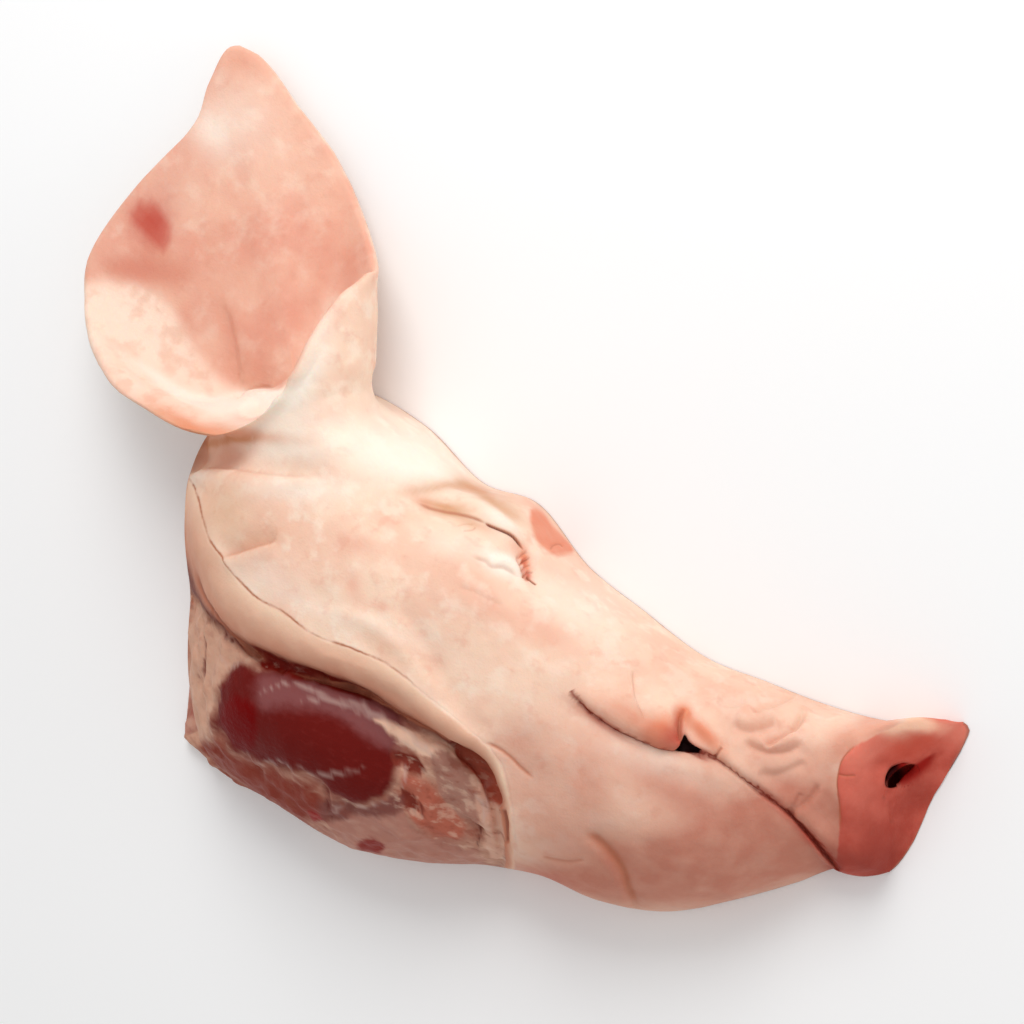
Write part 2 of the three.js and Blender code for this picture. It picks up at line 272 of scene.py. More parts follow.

# Creases and folds: line in the photograph's pixels; depth, half width, step to the right of the
# line's way and that step's reach in mm; darkness of the painted shade on the crease's floor
CREASES = [
    # slit between the lids, fold under the brow, folds of the lower lid and inner corner, fine lines
    ([(416, 501), (430, 507), (445, 510), (462, 514), (476, 519), (488, 525)], 0.3, 0.4, -0.9, 4, 0.35),
    ([(484, 523), (490, 526), (497, 529), (510, 535), (517, 541), (526, 551)], 1.1, 0.34, -0.7, 4, 0.9),
    ([(403, 496), (415, 489), (435, 485), (457, 485), (480, 491), (500, 504), (518, 516), (530, 530)],
     0.9, 3.0, -0.8, 7, 0.0),
    ([(470, 555), (485, 560), (492, 566), (505, 569), (522, 578)], 0.9, 0.8, -0.8, 4, 0.2),
    ([(527, 575), (531, 580), (537, 585)], 0.6, 0.45, 0, 3, 0.7),
    ([(519, 552), (519, 562), (524, 573), (530, 581)], 0.8, 0.9, -0.5, 3, 0.25),
    ([(519, 557), (524, 553), (528, 551)], 0.9, 0.5, 0, 3, 0.25),
    ([(520, 565), (524, 560), (531, 557)], 1.1, 0.5, 0, 3, 0.35),
    ([(521, 571), (527, 565), (532, 564)], 0.8, 0.5, 0, 3, 0.25),
    ([(523, 577), (528, 572), (534, 572)], 1.0, 0.5, 0, 3, 0.35),
    ([(456, 586), (473, 591), (490, 600), (505, 606)], 0.5, 1.2, -0.3, 5, 0.05),
    ([(462, 531), (472, 530), (476, 526)], 0.3, 0.6, 0, 4, 0.2),
    ([(456, 526), (466, 523), (474, 524)], 0.2, 0.6, 0, 4, 0.15),
    ([(550, 551), (553, 546), (560, 544), (564, 548)], 0.4, 0.6, 0, 3, 0.25),
    # folds of the cheek and shoulder, foot of the fat, creases of the throat
    ([(306, 612), (334, 606), (362, 612), (392, 630), (420, 662), (446, 694)], 0.5, 2.5, 1.1, 9, 0.04),
    ([(219, 557), (240, 551), (258, 545), (278, 540)], 1.8, 1.6, 2.4, 6, 0.25),
    ([(184, 480), (192, 470), (206, 466), (232, 468), (254, 472), (290, 475), (330, 478)],
     0.8, 2.0, 2.4, 8, 0.15),
    ([(392, 596), (408, 622), (430, 656), (448, 688), (468, 722), (486, 744)], 1.3, 4, 0.8, 10, 0),
    ([(484, 742), (498, 748), (510, 757), (522, 769), (535, 780)], 0.7, 0.9, 0.3, 4, 0.4),
    ([(194, 566), (201, 592), (216, 616), (232, 636), (250, 652), (268, 661)], 1.2, 1.0, 0, 4, 0.6),
    ([(286, 672), (318, 680), (352, 689), (384, 703), (408, 718), (436, 733), (452, 741)],
     0.8, 0.9, 0, 4, 0.6),
    ([(540, 856), (564, 862), (586, 860)], 0.6, 1.0, 0, 4, 0.25),
    ([(583, 832), (598, 842), (612, 856), (623, 872), (629, 892), (641, 913)], 1.6, 2.2, 0.8, 7, 0.45),
    ([(503, 808), (506, 822), (507, 846)], 1.3, 1.2, -0.6, 4, 0.7),
    # fold at the mouth's corner, flap of the upper lip, crease above it
    ([(684, 710), (681, 717), (680, 726), (680, 735), (683, 743)], 2.2, 0.9, -1.4, 4, 0.32),
    ([(688, 712), (701, 722), (711, 734), (720, 748)], 0.5, 1.4, -1.3, 5, 0.03),
    ([(722, 748), (718, 753), (714, 758)], 1.0, 0.8, 0, 4, 0.3),
    ([(634, 668), (634, 680), (636, 697), (641, 712), (645, 722)], 0.9, 0.8, 0.8, 6, 0.12),
    # wrinkles of the snout
    ([(764, 748), (776, 741), (788, 734), (799, 724), (806, 708)], 2.3, 1.5, 1.8, 7, 0.17),
    ([(744, 738), (756, 747), (772, 752), (790, 749), (803, 740)], 2.1, 1.5, -1.5, 7, 0.17),
    ([(752, 716), (768, 707), (786, 700), (800, 690)], 1.6, 1.6, 1.2, 7, 0.1),
    ([(732, 722), (746, 729), (764, 727), (778, 718)], 1.7, 1.5, -1.3, 7, 0.14),
    ([(716, 700), (732, 706), (748, 700)], 1.2, 2.0, 0.9, 7, 0.08),
    ([(758, 770), (774, 774), (792, 768), (806, 760)], 1.2, 2.0, -1.0, 7, 0.1),
    ([(790, 814), (802, 806), (812, 797), (819, 783)], 1.1, 1.4, 0.6, 5, 0.12),
    ([(786, 812), (796, 803), (800, 792)], 0.7, 1.3, -0.4, 4, 0.06),
    # border of the snout's disc, its short crease, the groove below the nostril
    ([(860, 742), (850, 750), (843, 759), (839, 769), (837, 783), (839, 800), (840, 818), (840, 834)],
     0.9, 0.7, -1.6, 6, 0.4),
    ([(838, 774), (846, 775), (853, 774)], 0.5, 0.6, 0, 3, 0.3),
    ([(887, 788), (889, 804), (893, 822)], 0.8, 1.4, 0.5, 4, 0.05),
    # ridge of the ear's bowl, and fine wrinkles of its base
    ([(222, 296), (232, 325), (238, 355), (243, 402)], 0.1, 1.8, -1.6, 9, 0.0),
    ([(238, 402), (246, 393), (258, 389), (274, 388)], 1.2, 1.0, 0.8, 4, 0.15),
    # rolled rim of the ear, with the hollow inside it
    ([(84, 290), (88, 325), (104, 358), (134, 386), (172, 404), (214, 415), (246, 408)],
     -1.6, 3.2, 0, 9, 0),
    ([(100, 300), (108, 335), (128, 364), (160, 386), (196, 398), (230, 402)], 1.0, 2.2, 0, 7, 0),
    ([(305, 386), (330, 381), (352, 377)], 0.4, 1.4, 0.3, 5, 0.02),
    ([(318, 402), (345, 394), (372, 391)], 0.5, 1.6, 0.4, 6, 0.02),
]

# Lumps and hollows: place in the photograph's pixels, reach along and across in mm, turn in degrees
# anticlockwise from the frame's right, height in mm
LUMPS = [
    # lids, brow's hollow, inner corner of the eye, scrape
    ((500, 520), (9, 3.4), -38, 1.6),
    ((444, 504), (11, 2.6), -14, -1.5),
    ((462, 497), (15, 2.6), -20, 1.0),
    ((540, 560), (5, 6), 14, 0.7),
    ((503, 563), (7.5, 3.4), -22, 1.9),
    ((527, 562), (3.0, 7), 14, -1.4),
    ((514, 547), (4, 2.4), -30, 0.9),
    ((550, 533), (5, 10), 42, -0.7),
    # upper lip's lobe, flap, snout
    ((626, 715), (16, 5), -30, 3.0),
    ((664, 729), (6, 7), 0, 3.2),
    ((704, 732), (11, 2.2), -46, 3.0),
    ((670, 760), (24, 4), -18, 0.8),
    ((703, 756), (5, 2), -28, -2),
    ((790, 720), (5, 3.5), 30, 1.6),
    ((770, 734), (7, 3), 14, 1.6),
    ((790, 744), (5, 2.2), 14, 1.2),
    ((752, 722), (6, 3), 10, 1.0),
    ((740, 712), (6, 4), 0, 0.7),
    ((770, 760), (12, 4), -30, 0.8),
    ((800, 792), (5, 6), 20, 0.9),
    # disc: left lobe, upper ridge, left rim of the nostril, hollow below it, lower lobe
    ((858, 790), (7, 15), 4, 2.0),
    ((862, 752), (7, 5), 30, 1.0),
    ((925, 742), (12, 4), 24, 1.2),
    ((880, 777), (2.4, 6), -14, 1.8),
    ((906, 808), (5, 9), -16, -2.2),
    ((872, 848), (10, 8), 0, 1.6),
    # rounded edge of the fat by the jowl's wall
    ((440, 716), (22, 5), -40, 1.6),
    ((355, 660), (26, 5), -22, 1.0),
    # notch at the foot of the ear's bowl, hollow between the ear and the neck, neck's lower corner
    ((264, 398), (7, 3.4), -8, 2.4),
    ((243, 405), (5, 3.2), 0, 1.6),
    ((196, 452), (5, 7), 0, -3),
    ((240, 452), (18, 4), 0, -1.2),
    ((190, 735), (5, 9), 20, 2.5),
]

# Soft patches of each tone: place in pixels, reach in mm, turn, strength
TONES = {
    "pink": [
        ((426, 502), (4, 2.4), -20, 0.9), ((535, 508), (4, 9), 30, 0.35), ((548, 566), (12, 5), -20, 0.35),
        ((358, 546), (8, 4), -10, 0.6), ((352, 584), (3.5, 7), 20, 0.6), ((381, 606), (4, 2), -10, 0.7),
        ((500, 605), (24, 8), -28, 0.3), ((560, 640), (14, 6), -30, 0.3), ((514, 547), (4, 3), -20, 0.6),
        ((565, 550), (4, 3), -30, 0.5), ((500, 612), (14, 4), -24, 0.15), ((700, 690), (34, 10), -26, 0.35),
        ((780, 748), (20, 12), -20, 0.4), ((683, 722), (3, 7), 0, 0.9), ((704, 736), (9, 3), -42, 0.9),
        ((815, 780), (8, 16), 0, 0.3), ((585, 775), (10, 16), 10, 0.35), ((770, 745), (24, 14), -20, 0.3),
        ((240, 62), (10, 6), 0, 0.7), ((345, 220), (8, 30), -14, 0.5), ((352, 262), (4, 7), 0, 0.7),
        ((268, 330), (3, 20), 4, 0.4), ((190, 168), (18, 6), 40, 0.4), ((225, 310), (16, 24), 0, 0.5),
        ((240, 550), (10, 2.6), 16, 0.35), ((285, 585), (30, 8), -30, 0.12),
        ((425, 560), (30, 22), -20, 0.08), ((864, 733), (14, 6), 30, 1.0), ((846, 746), (6, 7), 50, 0.7),
        ((885, 722), (10, 4), -10, 0.6), ((470, 640), (30, 16), -30, 0.14), ((800, 700), (24, 5), -12, 0.3),
    ],
    # cream_and_highlight: the skin's own paler cream, with painted highlight on lit tops such as the
    # forehead, lids, folds and the ear's rim
    "cream_and_highlight": [
        ((330, 435), (40, 14), -10, 0.5), ((262, 452), (20, 8), 0, 0.6), ((268, 578), (16, 9), -20, 0.4),
        ((430, 468), (28, 7), -20, 0.6), ((503, 564), (8, 4), -20, 1.6), ((500, 520), (9, 4), -38, 0.9),
        ((425, 438), (22, 12), -35, 0.5), ((292, 394), (16, 4), 46, 0.7), ((455, 545), (14, 6), -10, 0.4),
        ((160, 378), (26, 3), -34, 0.8), ((205, 402), (12, 3), -10, 1.0), ((316, 350), (6, 26), -14, 0.6),
        ((215, 412), (34, 5), -24, 0.5), ((260, 398), (12, 4), 0, 1.4), ((232, 400), (6, 4), 0, 0.8),
        ((170, 190), (14, 22), -40, 0.35), ((250, 130), (34, 20), -50, 0.4), ((300, 490), (22, 5), 0, 0.6),
        ((360, 622), (34, 5), -20, 0.4), ((640, 745), (26, 3), -24, 0.3), ((600, 600), (20, 12), -40, 0.25),
        ((200, 476), (6, 3), 0, 0.6), ((100, 330), (6, 34), -4, 0.3), ((210, 135), (8, 12), 30, 0.6),
        ((420, 700), (22, 5), -40, 0.4), ((208, 330), (5, 20), 20, 0.3), ((560, 600), (26, 10), -44, 0.25),
        ((470, 455), (12, 4), -30, 0.5), ((240, 110), (16, 18), -60, 0.3), ((390, 470), (16, 8), -20, 0.4),
        ((650, 765), (26, 5), -20, 0.35),
    ],
    # tan: the skin's own tan, with painted shade under the ear's rim, in the hollow behind the ear, along
    # the brow and above the lids' slit
    "tan": [
        ((280, 462), (18, 5), -8, 0.2), ((225, 510), (13, 16), 20, 0.5), ((262, 540), (14, 4), 14, 0.25),
        ((447, 507), (11, 3.2), -15, 0.9), ((430, 487), (14, 2.0), 8, 0.55),
        ((458, 486), (10, 2.0), -10, 0.4), ((488, 498), (15, 2.4), -34, 0.8),
        ((511, 506), (8, 3), -48, 0.3), ((612, 856), (7, 9), 40, 0.5), ((475, 524), (7, 2), -20, 0.4),
        ((224, 441), (10, 1.4), 4, 1.2), ((180, 424), (18, 3), -28, 0.6), ((240, 434), (24, 3), -6, 0.5),
        ((380, 642), (24, 4), -40, 0.3),
    ],
    # deep: darker, redder skin low on the chin, lips and snout and by the mouth, partly the skin's own
    # colour and partly painted shade
    "deep": [
        ((674, 792), (26, 8), -28, 0.45), ((640, 716), (10, 5), -20, 0.3), ((810, 815), (16, 12), -40, 0.5),
        ((755, 805), (26, 10), -36, 0.5), ((700, 862), (36, 10), 10, 0.5), ((512, 745), (16, 16), 0, 0.3),
        ((660, 736), (8, 5), -20, 0.55), ((580, 690), (20, 20), 0, 0.2), ((705, 870), (60, 20), 10, 0.9),
        ((772, 842), (28, 14), 32, 0.8), ((822, 812), (9, 16), 0, 0.5), ((690, 806), (44, 15), -24, 0.35),
        ((560, 842), (30, 20), -10, 0.35), ((540, 775), (14, 24), 20, 0.4), ((640, 858), (34, 16), -8, 0.3),
        ((780, 782), (20, 8), -36, 0.45), ((540, 876), (34, 6), -8, 0.5), ((826, 856), (10, 8), -40, 0.8),
        ((480, 492), (14, 3), -14, 0.2), ((668, 742), (9, 3), -20, 0.9), ((677, 731), (2.2, 6), 0, 0.9),
        ((600, 722), (16, 2), -34, 0.5), ((630, 725), (16, 5), -28, 0.3), ((590, 785), (10, 16), 10, 0.3),
        ((810, 838), (12, 4), -44, 0.4),
    ],
    "red": [
        ((670, 737), (5, 3.4), 0, 0.6), ((785, 812), (16, 1.8), -40, 0.5), ((676, 722), (1.4, 4), 0, 0.5),
        ((525, 561), (1.2, 1.6), 0, 0.7), ((529, 575), (1.2, 1.6), 0, 0.8), ((524, 570), (1, 1.4), 0, 0.5),
        ((148, 224), (8, 9), 30, 0.9), ((684, 744), (5, 3), -20, 0.7), ((700, 752), (6, 2), -30, 0.7),
        ((140, 268), (22, 6), -8, 0.3), ((818, 847), (14, 2), -46, 0.9), ((508, 843), (1.6, 3), 0, 0.6),
        ((540, 876), (18, 3), -14, 0.3), ((600, 722), (9, 1.2), -34, 0.4), ((918, 748), (10, 4), 28, 0.6),
        ((160, 200), (10, 12), 40, 0.3),
    ],
    "salmon": [
        ((627, 718), (16, 4.5), -30, 0.45), ((664, 728), (7, 6), 0, 0.8), ((704, 734), (11, 2.8), -46, 1.0),
        ((684, 714), (3, 3), 0, 1.0), ((527, 566), (2.2, 6), 16, 1.0), ((524, 556), (3, 4), 0, 0.5),
        ((214, 453), (12, 5), 0, 0.55), ((228, 433), (26, 2.6), -6, 0.5),
        ((178, 419), (16, 3.4), -28, 0.55),
    ],
    "disc_pale": [
        ((912, 723), (12, 3.2), -6, 1.2), ((884, 726), (9, 4), -20, 0.7),
    ],
    # disc_pink_and_highlight: the disc's own pinker lobes, with painted highlight along its upper edge
    "disc_pink_and_highlight": [
        ((884, 742), (10, 4), 12, 1.0), ((858, 775), (9, 20), 8, 0.5), ((862, 748), (10, 5), 30, 0.9),
        ((944, 728), (10, 4.5), -10, 1.2), ((962, 735), (6, 7), 0, 0.7), ((850, 800), (5, 24), 4, 0.1),
    ],
    "disc_red": [
        ((915, 745), (12, 5), 22, 1.0), ((905, 742), (10, 4), 10, 0.5),
    ],
    # maroon_and_shade: darker maroon on the disc's lower part and at the mouth's end, partly the disc's own
    # colour and partly painted shade
    "maroon_and_shade": [
        ((882, 856), (12, 14), 10, 0.9), ((860, 822), (9, 12), 0, 0.3), ((905, 812), (7, 14), -16, 0.35),
        ((925, 790), (8, 10), 0, 0.5), ((860, 862), (14, 5), 0, 0.4), ((835, 862), (5, 8), 20, 0.6),
    ],
}

# Areas with an irregular border: outline in pixels, softness of the border in mm, and the height by
# which the area stands over its surroundings, reached within some mm of its border
AREAS = {
    "pale": ([(180, 590), (197, 600), (214, 625), (236, 650), (256, 664), (240, 668), (224, 682),
              (214, 702), (208, 728), (190, 742), (176, 700), (178, 640)], 3.0, -1.0, 5),
    "brown": ([(200, 742), (222, 738), (243, 756), (262, 768), (290, 776), (312, 786), (326, 800),
               (333, 822), (300, 822), (262, 800), (225, 775), (198, 752)], 5.0, 0.8, 6),
    "muscle": ([(213, 722), (216, 696), (226, 676), (240, 664), (262, 669), (300, 675), (335, 680),
                (372, 692), (402, 712), (398, 728), (394, 745), (396, 768), (392, 788), (376, 800),
                (350, 804), (330, 796), (318, 781), (295, 771), (262, 763), (238, 749), (221, 733)],
               5.0, 1.8, 10),
    "fascia": ([(262, 676), (300, 682), (340, 687), (384, 703), (402, 724), (392, 748), (362, 734),
                (330, 714), (290, 707), (262, 706)], 6.5, 0, 1),
    "bulb": ([(220, 722), (227, 704), (240, 694), (253, 697), (260, 712), (259, 734), (252, 750),
              (238, 746), (226, 736)], 3.0, 0.8, 6),
    "bottom_fat": ([(330, 812), (352, 813), (382, 806), (402, 813), (416, 832), (442, 846), (480, 856),
                    (470, 880), (380, 875), (350, 858), (330, 832)], 2.4, 1.0, 5),
    "orange": ([(404, 776), (424, 782), (446, 800), (462, 822), (452, 842), (430, 836), (414, 820),
                (402, 800)], 3.5, 1.2, 4),
    "light_fat": ([(376, 718), (402, 727), (426, 736), (448, 744), (458, 757), (444, 762), (424, 757),
                   (404, 744)], 2.2, 1.6, 4),
    "under": ([(318, 798), (345, 806), (372, 805), (396, 795), (406, 806), (394, 816), (360, 818),
               (334, 818), (322, 812)], 3.0, 0.4, 3),
    "grey_lobe": ([(432, 754), (446, 752), (460, 766), (474, 786), (482, 808), (478, 826), (460, 818),
                   (444, 800), (436, 780)], 1.8, 1.8, 5),
    "strip": ([(482, 778), (490, 800), (503, 806), (504, 850), (494, 858), (484, 836), (478, 806)],
              1.4, 1.2, 4),
    # hollow and pocket: dark red-brown, partly the tissue's own colour and partly painted shade in these
    # recesses
    "hollow": ([(390, 750), (404, 752), (420, 761), (428, 774), (416, 777), (402, 766), (391, 763)],
               1.0, -3.5, 2.5),
    "pocket": ([(402, 792), (411, 796), (419, 809), (411, 814), (403, 806)], 1.0, -3, 2),
    "cavity": ([(452, 739), (468, 748), (486, 763), (497, 782), (503, 803), (496, 806), (486, 790),
                (472, 774), (460, 760)], 1.0, -4, 3),
    "blood_strip": ([(252, 642), (268, 650), (292, 659), (322, 670), (348, 679), (380, 694), (378, 703),
                     (344, 692), (310, 684), (284, 677), (268, 669), (256, 658)], 1.8, -1.0, 3),
    "spot": ([(358, 842), (376, 840), (386, 847), (372, 855), (360, 851)], 1.4, 0, 1),
    "spot_left": ([(310, 812), (321, 811), (325, 822), (314, 824)], 1.2, 0, 1),
    "scrape": ([(530, 512), (540, 511), (556, 528), (573, 548), (569, 554), (556, 556), (547, 551),
                (534, 536)], 1.1, 0.3, 2),
    # ear_wall_painted_light: paler colour on the bowl's lower wall, painted light where that wall faces the
    # lamp
    "ear_wall_painted_light": ([(70, 290), (110, 281), (142, 284), (168, 305), (190, 336), (212, 368), (240, 404),
                  (214, 425), (170, 420), (125, 395), (90, 350), (75, 320)], 4.0, 0, 1),
    "smear": ([(102, 264), (122, 257), (140, 250), (150, 238), (168, 242), (176, 262), (196, 276),
               (176, 288), (142, 284), (112, 276)], 4.0, 0, 1),
    "bruise": ([(130, 212), (143, 203), (159, 208), (169, 222), (172, 240), (164, 250), (150, 242),
                (138, 230)], 2.2, 0, 1),
    "disc": ([(839, 766), (848, 752), (866, 739), (888, 729), (905, 721), (920, 710), (960, 702),
              (990, 712), (985, 760), (960, 800), (945, 850), (920, 890), (850, 890), (836, 868),
              (840, 835), (838, 800)], 1.5, 0, 1),
    # nostril: near-black painted shade in the nostril's pit
    "nostril": ([(886, 786), (886, 776), (892, 767), (903, 764), (913, 766), (915, 772), (908, 780),
                 (898, 786)], 1.3, -2.5, 2),
    "nostril_wall": ([(902, 764), (914, 765), (925, 759), (935, 756), (928, 768), (917, 778), (904, 786),
                      (900, 778)], 1.3, -1.4, 2),
    # throat_hole: coloured near-black inside, painted shade in the hole
    "throat_hole": ([(675, 751), (680, 746), (684, 736), (690, 741), (696, 747), (701, 753), (688, 753)],
                    0.5, -9, 2),
}

# Streaks of the cut, each a line in pixels: pale sheaths, and dark clefts
STREAKS = {
    "sheath": [
        [(256, 696), (272, 690), (290, 685), (312, 692), (342, 702), (365, 711), (392, 733)],
        [(300, 702), (325, 700), (345, 706), (362, 714)],
        [(330, 700), (360, 703), (384, 718), (398, 730)],
        [(240, 756), (262, 764), (285, 760), (300, 768), (318, 775), (345, 772), (372, 764)],
        [(398, 738), (420, 748), (440, 760)],
        [(386, 724), (404, 730), (424, 744), (446, 750)],
        [(400, 792), (408, 776), (404, 764)],
        [(476, 790), (486, 806), (482, 826)],
        [(325, 812), (345, 808), (368, 806), (392, 803)],
        [(486, 782), (490, 798), (488, 815)],
        [(216, 650), (228, 668), (246, 662)],
    ],
    "cleft": [
        [(196, 590), (206, 606), (222, 630), (238, 646), (258, 657)],
        [(196, 610), (200, 640), (196, 668), (192, 690)],
        [(300, 671), (335, 679), (370, 692), (404, 714), (440, 736)],
        [(410, 790), (420, 806), (428, 820)],
        [(468, 820), (480, 836), (478, 852)],
        [(318, 782), (326, 800), (330, 822)],
    ],
}
# Reach of a streak beside its line, height of a sheath and depth of a cleft, in mm
STREAK_REACH = 1.0
SHEATH_HEIGHT = 0.5
CLEFT_DEPTH = 1.6
# Cosines of the turn from the camera between which relief fades in and between which colours do, and
# areas whose colour fades as the relief does
RELIEF_TURN = (0.05, 0.35)
COLOUR_TURN = (-0.5, 0.0)
SMALL_AREAS = ("spot", "spot_left")
# Shares of a crease over which each end fades, how many reaches away it still counts, and the
# painted shade's width as a share of its own
CREASE_TAPER = 0.18
CREASE_MARGIN = 2.5
CREASE_DARK = 0.8
# Points of a curve for each pixel place of an edge, of a crease or outline, and of a crease's line
# where faces are split
EDGE_STEPS, CURVE_STEPS, COARSE_STEPS = 4, 6, 3
# Distances in mm past the edges of the cut, as the material reads them
EDGE_RANGE = (-20, 60)
# Groups in which points are compared, to save memory
GROUPS = 60


def ease(value, low, high):
    """0 below low, 1 above high, 3x^2 - 2x^3 between them."""
    x = np.clip((value - low) / (high - low), 0, 1)
    return x * x * (3 - 2 * x)


def bell(distance, reach):
    """exp(-(distance / reach)^2)."""
    return np.exp(-(distance / reach) ** 2)


def blend(a, b, share):
    """a where share is 0 and b where it is 1, for arrays of points."""
    share = np.asarray(share)[..., None]
    return a + (b - a) * share


def catmull(p0, p1, p2, p3, w):
    """Catmull-Rom cubic from p1 to p2, at the share w between them."""
    v1 = (p2 - p0) / 2
    v2 = (p3 - p1) / 2
    return (2 * p1 - 2 * p2 + v1 + v2) * w ** 3 + (-3 * p1 + 3 * p2 - 2 * v1 - v2) * w ** 2 + v1 * w + p1


def spline(points, share):
    """An open curve through the points, at shares 0 to 1 of the way, evenly by point count."""
    p = np.asarray(points, float).reshape(len(points), -1)
    last = len(p) - 1
    at = np.clip(np.asarray(share, float), 0, 1) * last
    i = np.minimum(at.astype(int), last - 1)
    w = (at - i)[..., None]
    out = catmull(p[np.maximum(i - 1, 0)], p[i], p[i + 1], p[np.minimum(i + 2, last)], w)
    return out[..., 0] if p.shape[1] == 1 else out


def loop(points, share):
    """A closed curve through the points, at shares 0 to 1 round it."""
    p = np.asarray(points, float)
    n = len(p)
    at = np.asarray(share, float) % 1 * n
    i = at.astype(int) % n
    w = (at - np.floor(at))[..., None]
    return catmull(p[i - 1], p[i], p[(i + 1) % n], p[(i + 2) % n], w)


def trail(curve, place):
    """Signed distance from places to a run of points, positive on the right of its way, and the
    share of the way where each is nearest: the least of the distances to its straight pieces."""
    flat = place.reshape(-1, 2)
    nearest = np.full(len(flat), np.inf)
    side = np.ones(len(flat))
    share = np.zeros(len(flat))
    for i in range(len(curve) - 1):
        along = curve[i + 1] - curve[i]
        offset = flat - curve[i]
        u = np.clip(offset @ along / (along @ along), 0, 1)
        gap = np.linalg.norm(offset - u[:, None] * along, axis=1)
        closer = gap < nearest
        turn = along[0] * offset[:, 1] - along[1] * offset[:, 0]
        nearest = np.where(closer, gap, nearest)
        side = np.where(closer, np.where(turn > 0, -1.0, 1.0), side)
        share = np.where(closer, (i + u) / (len(curve) - 1), share)
    return (nearest * side).reshape(place.shape[:-1]), share.reshape(place.shape[:-1])


# The camera's place and its right, up and backward directions in the drawing's frame
BACKWARD = np.array([math.tan(SNOUT_LEAN), math.tan(FOREHEAD_LEAN), 1.0])
BACKWARD /= np.linalg.norm(BACKWARD)
LEVEL = np.array([1.0, 0.0, 0.0]) - BACKWARD * BACKWARD[0]
LEVEL /= np.linalg.norm(LEVEL)
CROSS = np.cross(BACKWARD, LEVEL)
RIGHT = math.cos(AXIS_DROP) * LEVEL + math.sin(AXIS_DROP) * CROSS
UP = -math.sin(AXIS_DROP) * LEVEL + math.cos(AXIS_DROP) * CROSS
EYE = LOOK_AT + BACKWARD * DISTANCE
FOCAL_PIXELS = PIXELS_PER_MM * DISTANCE


def plan(point):
    """Where the line of sight through each point meets the floor z = 0, as x and y."""
    reach = EYE[2] / (EYE[2] - point[..., 2])
    return EYE[:2] + (point[..., :2] - EYE[:2]) * reach[..., None]


def sight(point):
    """Place of each point in the picture plane, in mm from its middle: right, then up."""
    offset = point - EYE
    depth = -(offset @ BACKWARD)
    return np.stack([offset @ RIGHT, offset @ UP], -1) * (DISTANCE / depth)[..., None]


def from_photo(pixels):
    """Places in the picture plane, in mm, of the photograph's pixels."""
    return (np.asarray(pixels, float) - FRAME_PIXELS / 2) / PIXELS_PER_MM * [1, -1]


def slide(point, rise):
    """Move points along their lines of sight until they are higher by a rise in mm."""
    way = EYE - point
    return point + way * (rise / way[..., 2])[..., None]


def drawn(pixels, count):
    """A smooth curve of some points in the picture plane, through the photograph's pixels."""
    return spline(from_photo(pixels), np.linspace(0, 1, count))


SKIN_CURVE, FAT_CURVE, MOUTH_CURVE = (drawn(pixels, EDGE_STEPS * (len(pixels) - 1) + 1)
                                      for pixels in (SKIN_EDGE, FAT_EDGE, MOUTH))


def disc_bulge(s, share):
    """How far the snout's end stands forward, at a share of its width from forehead to throat."""
    turned = np.arccos(np.clip(1 - 2 * share, -1, 1)) / np.pi
    return spline(DISC_BULGE, turned) * ease(s, *BULGE_SPAN)


def bare_cheek(s, t):
    """The cheek before its relief. Each section from forehead to throat is a half superellipse,
    (|x|^p + |z|^p = 1) stretched between the outline's two sides, and the snout is swept back."""
    front = spline(FOREHEAD, s)
    back = spline(THROAT, s)
    power = spline(SECTION_POWER, s)
    level = np.cos(np.pi * t)
    upright = np.sin(np.pi * t)
    radius = (np.abs(level) ** power + np.abs(upright) ** power) ** (-1 / power)
    place = blend(front, back, (1 - radius * level) / 2)
    height = spline(CHEEK_HEIGHT, s) * radius * upright
    across = (1 - radius * level) / 2
    sweep = spline(SWEEP_ACROSS, across) * ease(s, SWEEP_START, 1)
    sweep *= (np.maximum(height, 0) / DISC_HEIGHT) ** SWEEP_POWER
    forward = disc_bulge(s, across) * (1 - ease(height, 0, BULGE_HEIGHT))
    reach_s, reach_across, reach_up = TOE_REACH
    toe = bell(s, reach_s) * bell(1 - across, reach_across) * (1 - ease(height, 0, reach_up))
    along = place[..., 0] - sweep + forward + NECK_TOE[0] * toe
    return np.stack([along, place[..., 1] + NECK_TOE[1] * toe, height], -1)


def bells(place, table):
    """Sum of bells over a plane, each with its place, reach along and across, turn and height."""
    total = np.zeros(place.shape[:-1])
    for at, reach, turn, height in table:
        local = place - np.asarray(at, float)
        c, s = math.cos(math.radians(turn)), math.sin(math.radians(turn))
        along = local[..., 0] * c + local[..., 1] * s
        across = local[..., 1] * c - local[..., 0] * s
        total += height * bell(along, reach[0]) * bell(across, reach[1])
    return total


def jowl_cut(past_skin, past_fat):
    """Depth of the cut below the skin: the fat rolls over, drops as a wall at its edge, and a
    crevice runs along the wall's foot."""
    slope = np.where(past_fat > 0, 1.0, past_skin / np.maximum(past_skin - past_fat, 1e-6))
    slope = np.clip(slope, 0, 1)
    wall = WALL_DROP * ease(past_fat, *WALL_SPAN)
    crevice = CREVICE_DEPTH * bell(past_fat - CREVICE_PLACE, CREVICE_REACH)
    return np.where(past_skin > 0, BAND_DROP * slope ** BAND_POWER + wall + crevice, 0.0)


def lips(view):
    """Height of the lips round the mouth's line: bells of the signed distance to it."""
    distance, share = trail(MOUTH_CURVE, view)
    forms = (SLIT, UPPER_ROLL, LOWER_SLOPE)
    slit, roll, slope = (rise * bell(distance - at, reach) for rise, at, reach in forms)
    height = slit * spline(MOUTH_STRENGTH, share) + (roll + slope) * spline(LIP_STRENGTH, share)
    return height * ease(share, *MOUTH_FADE)


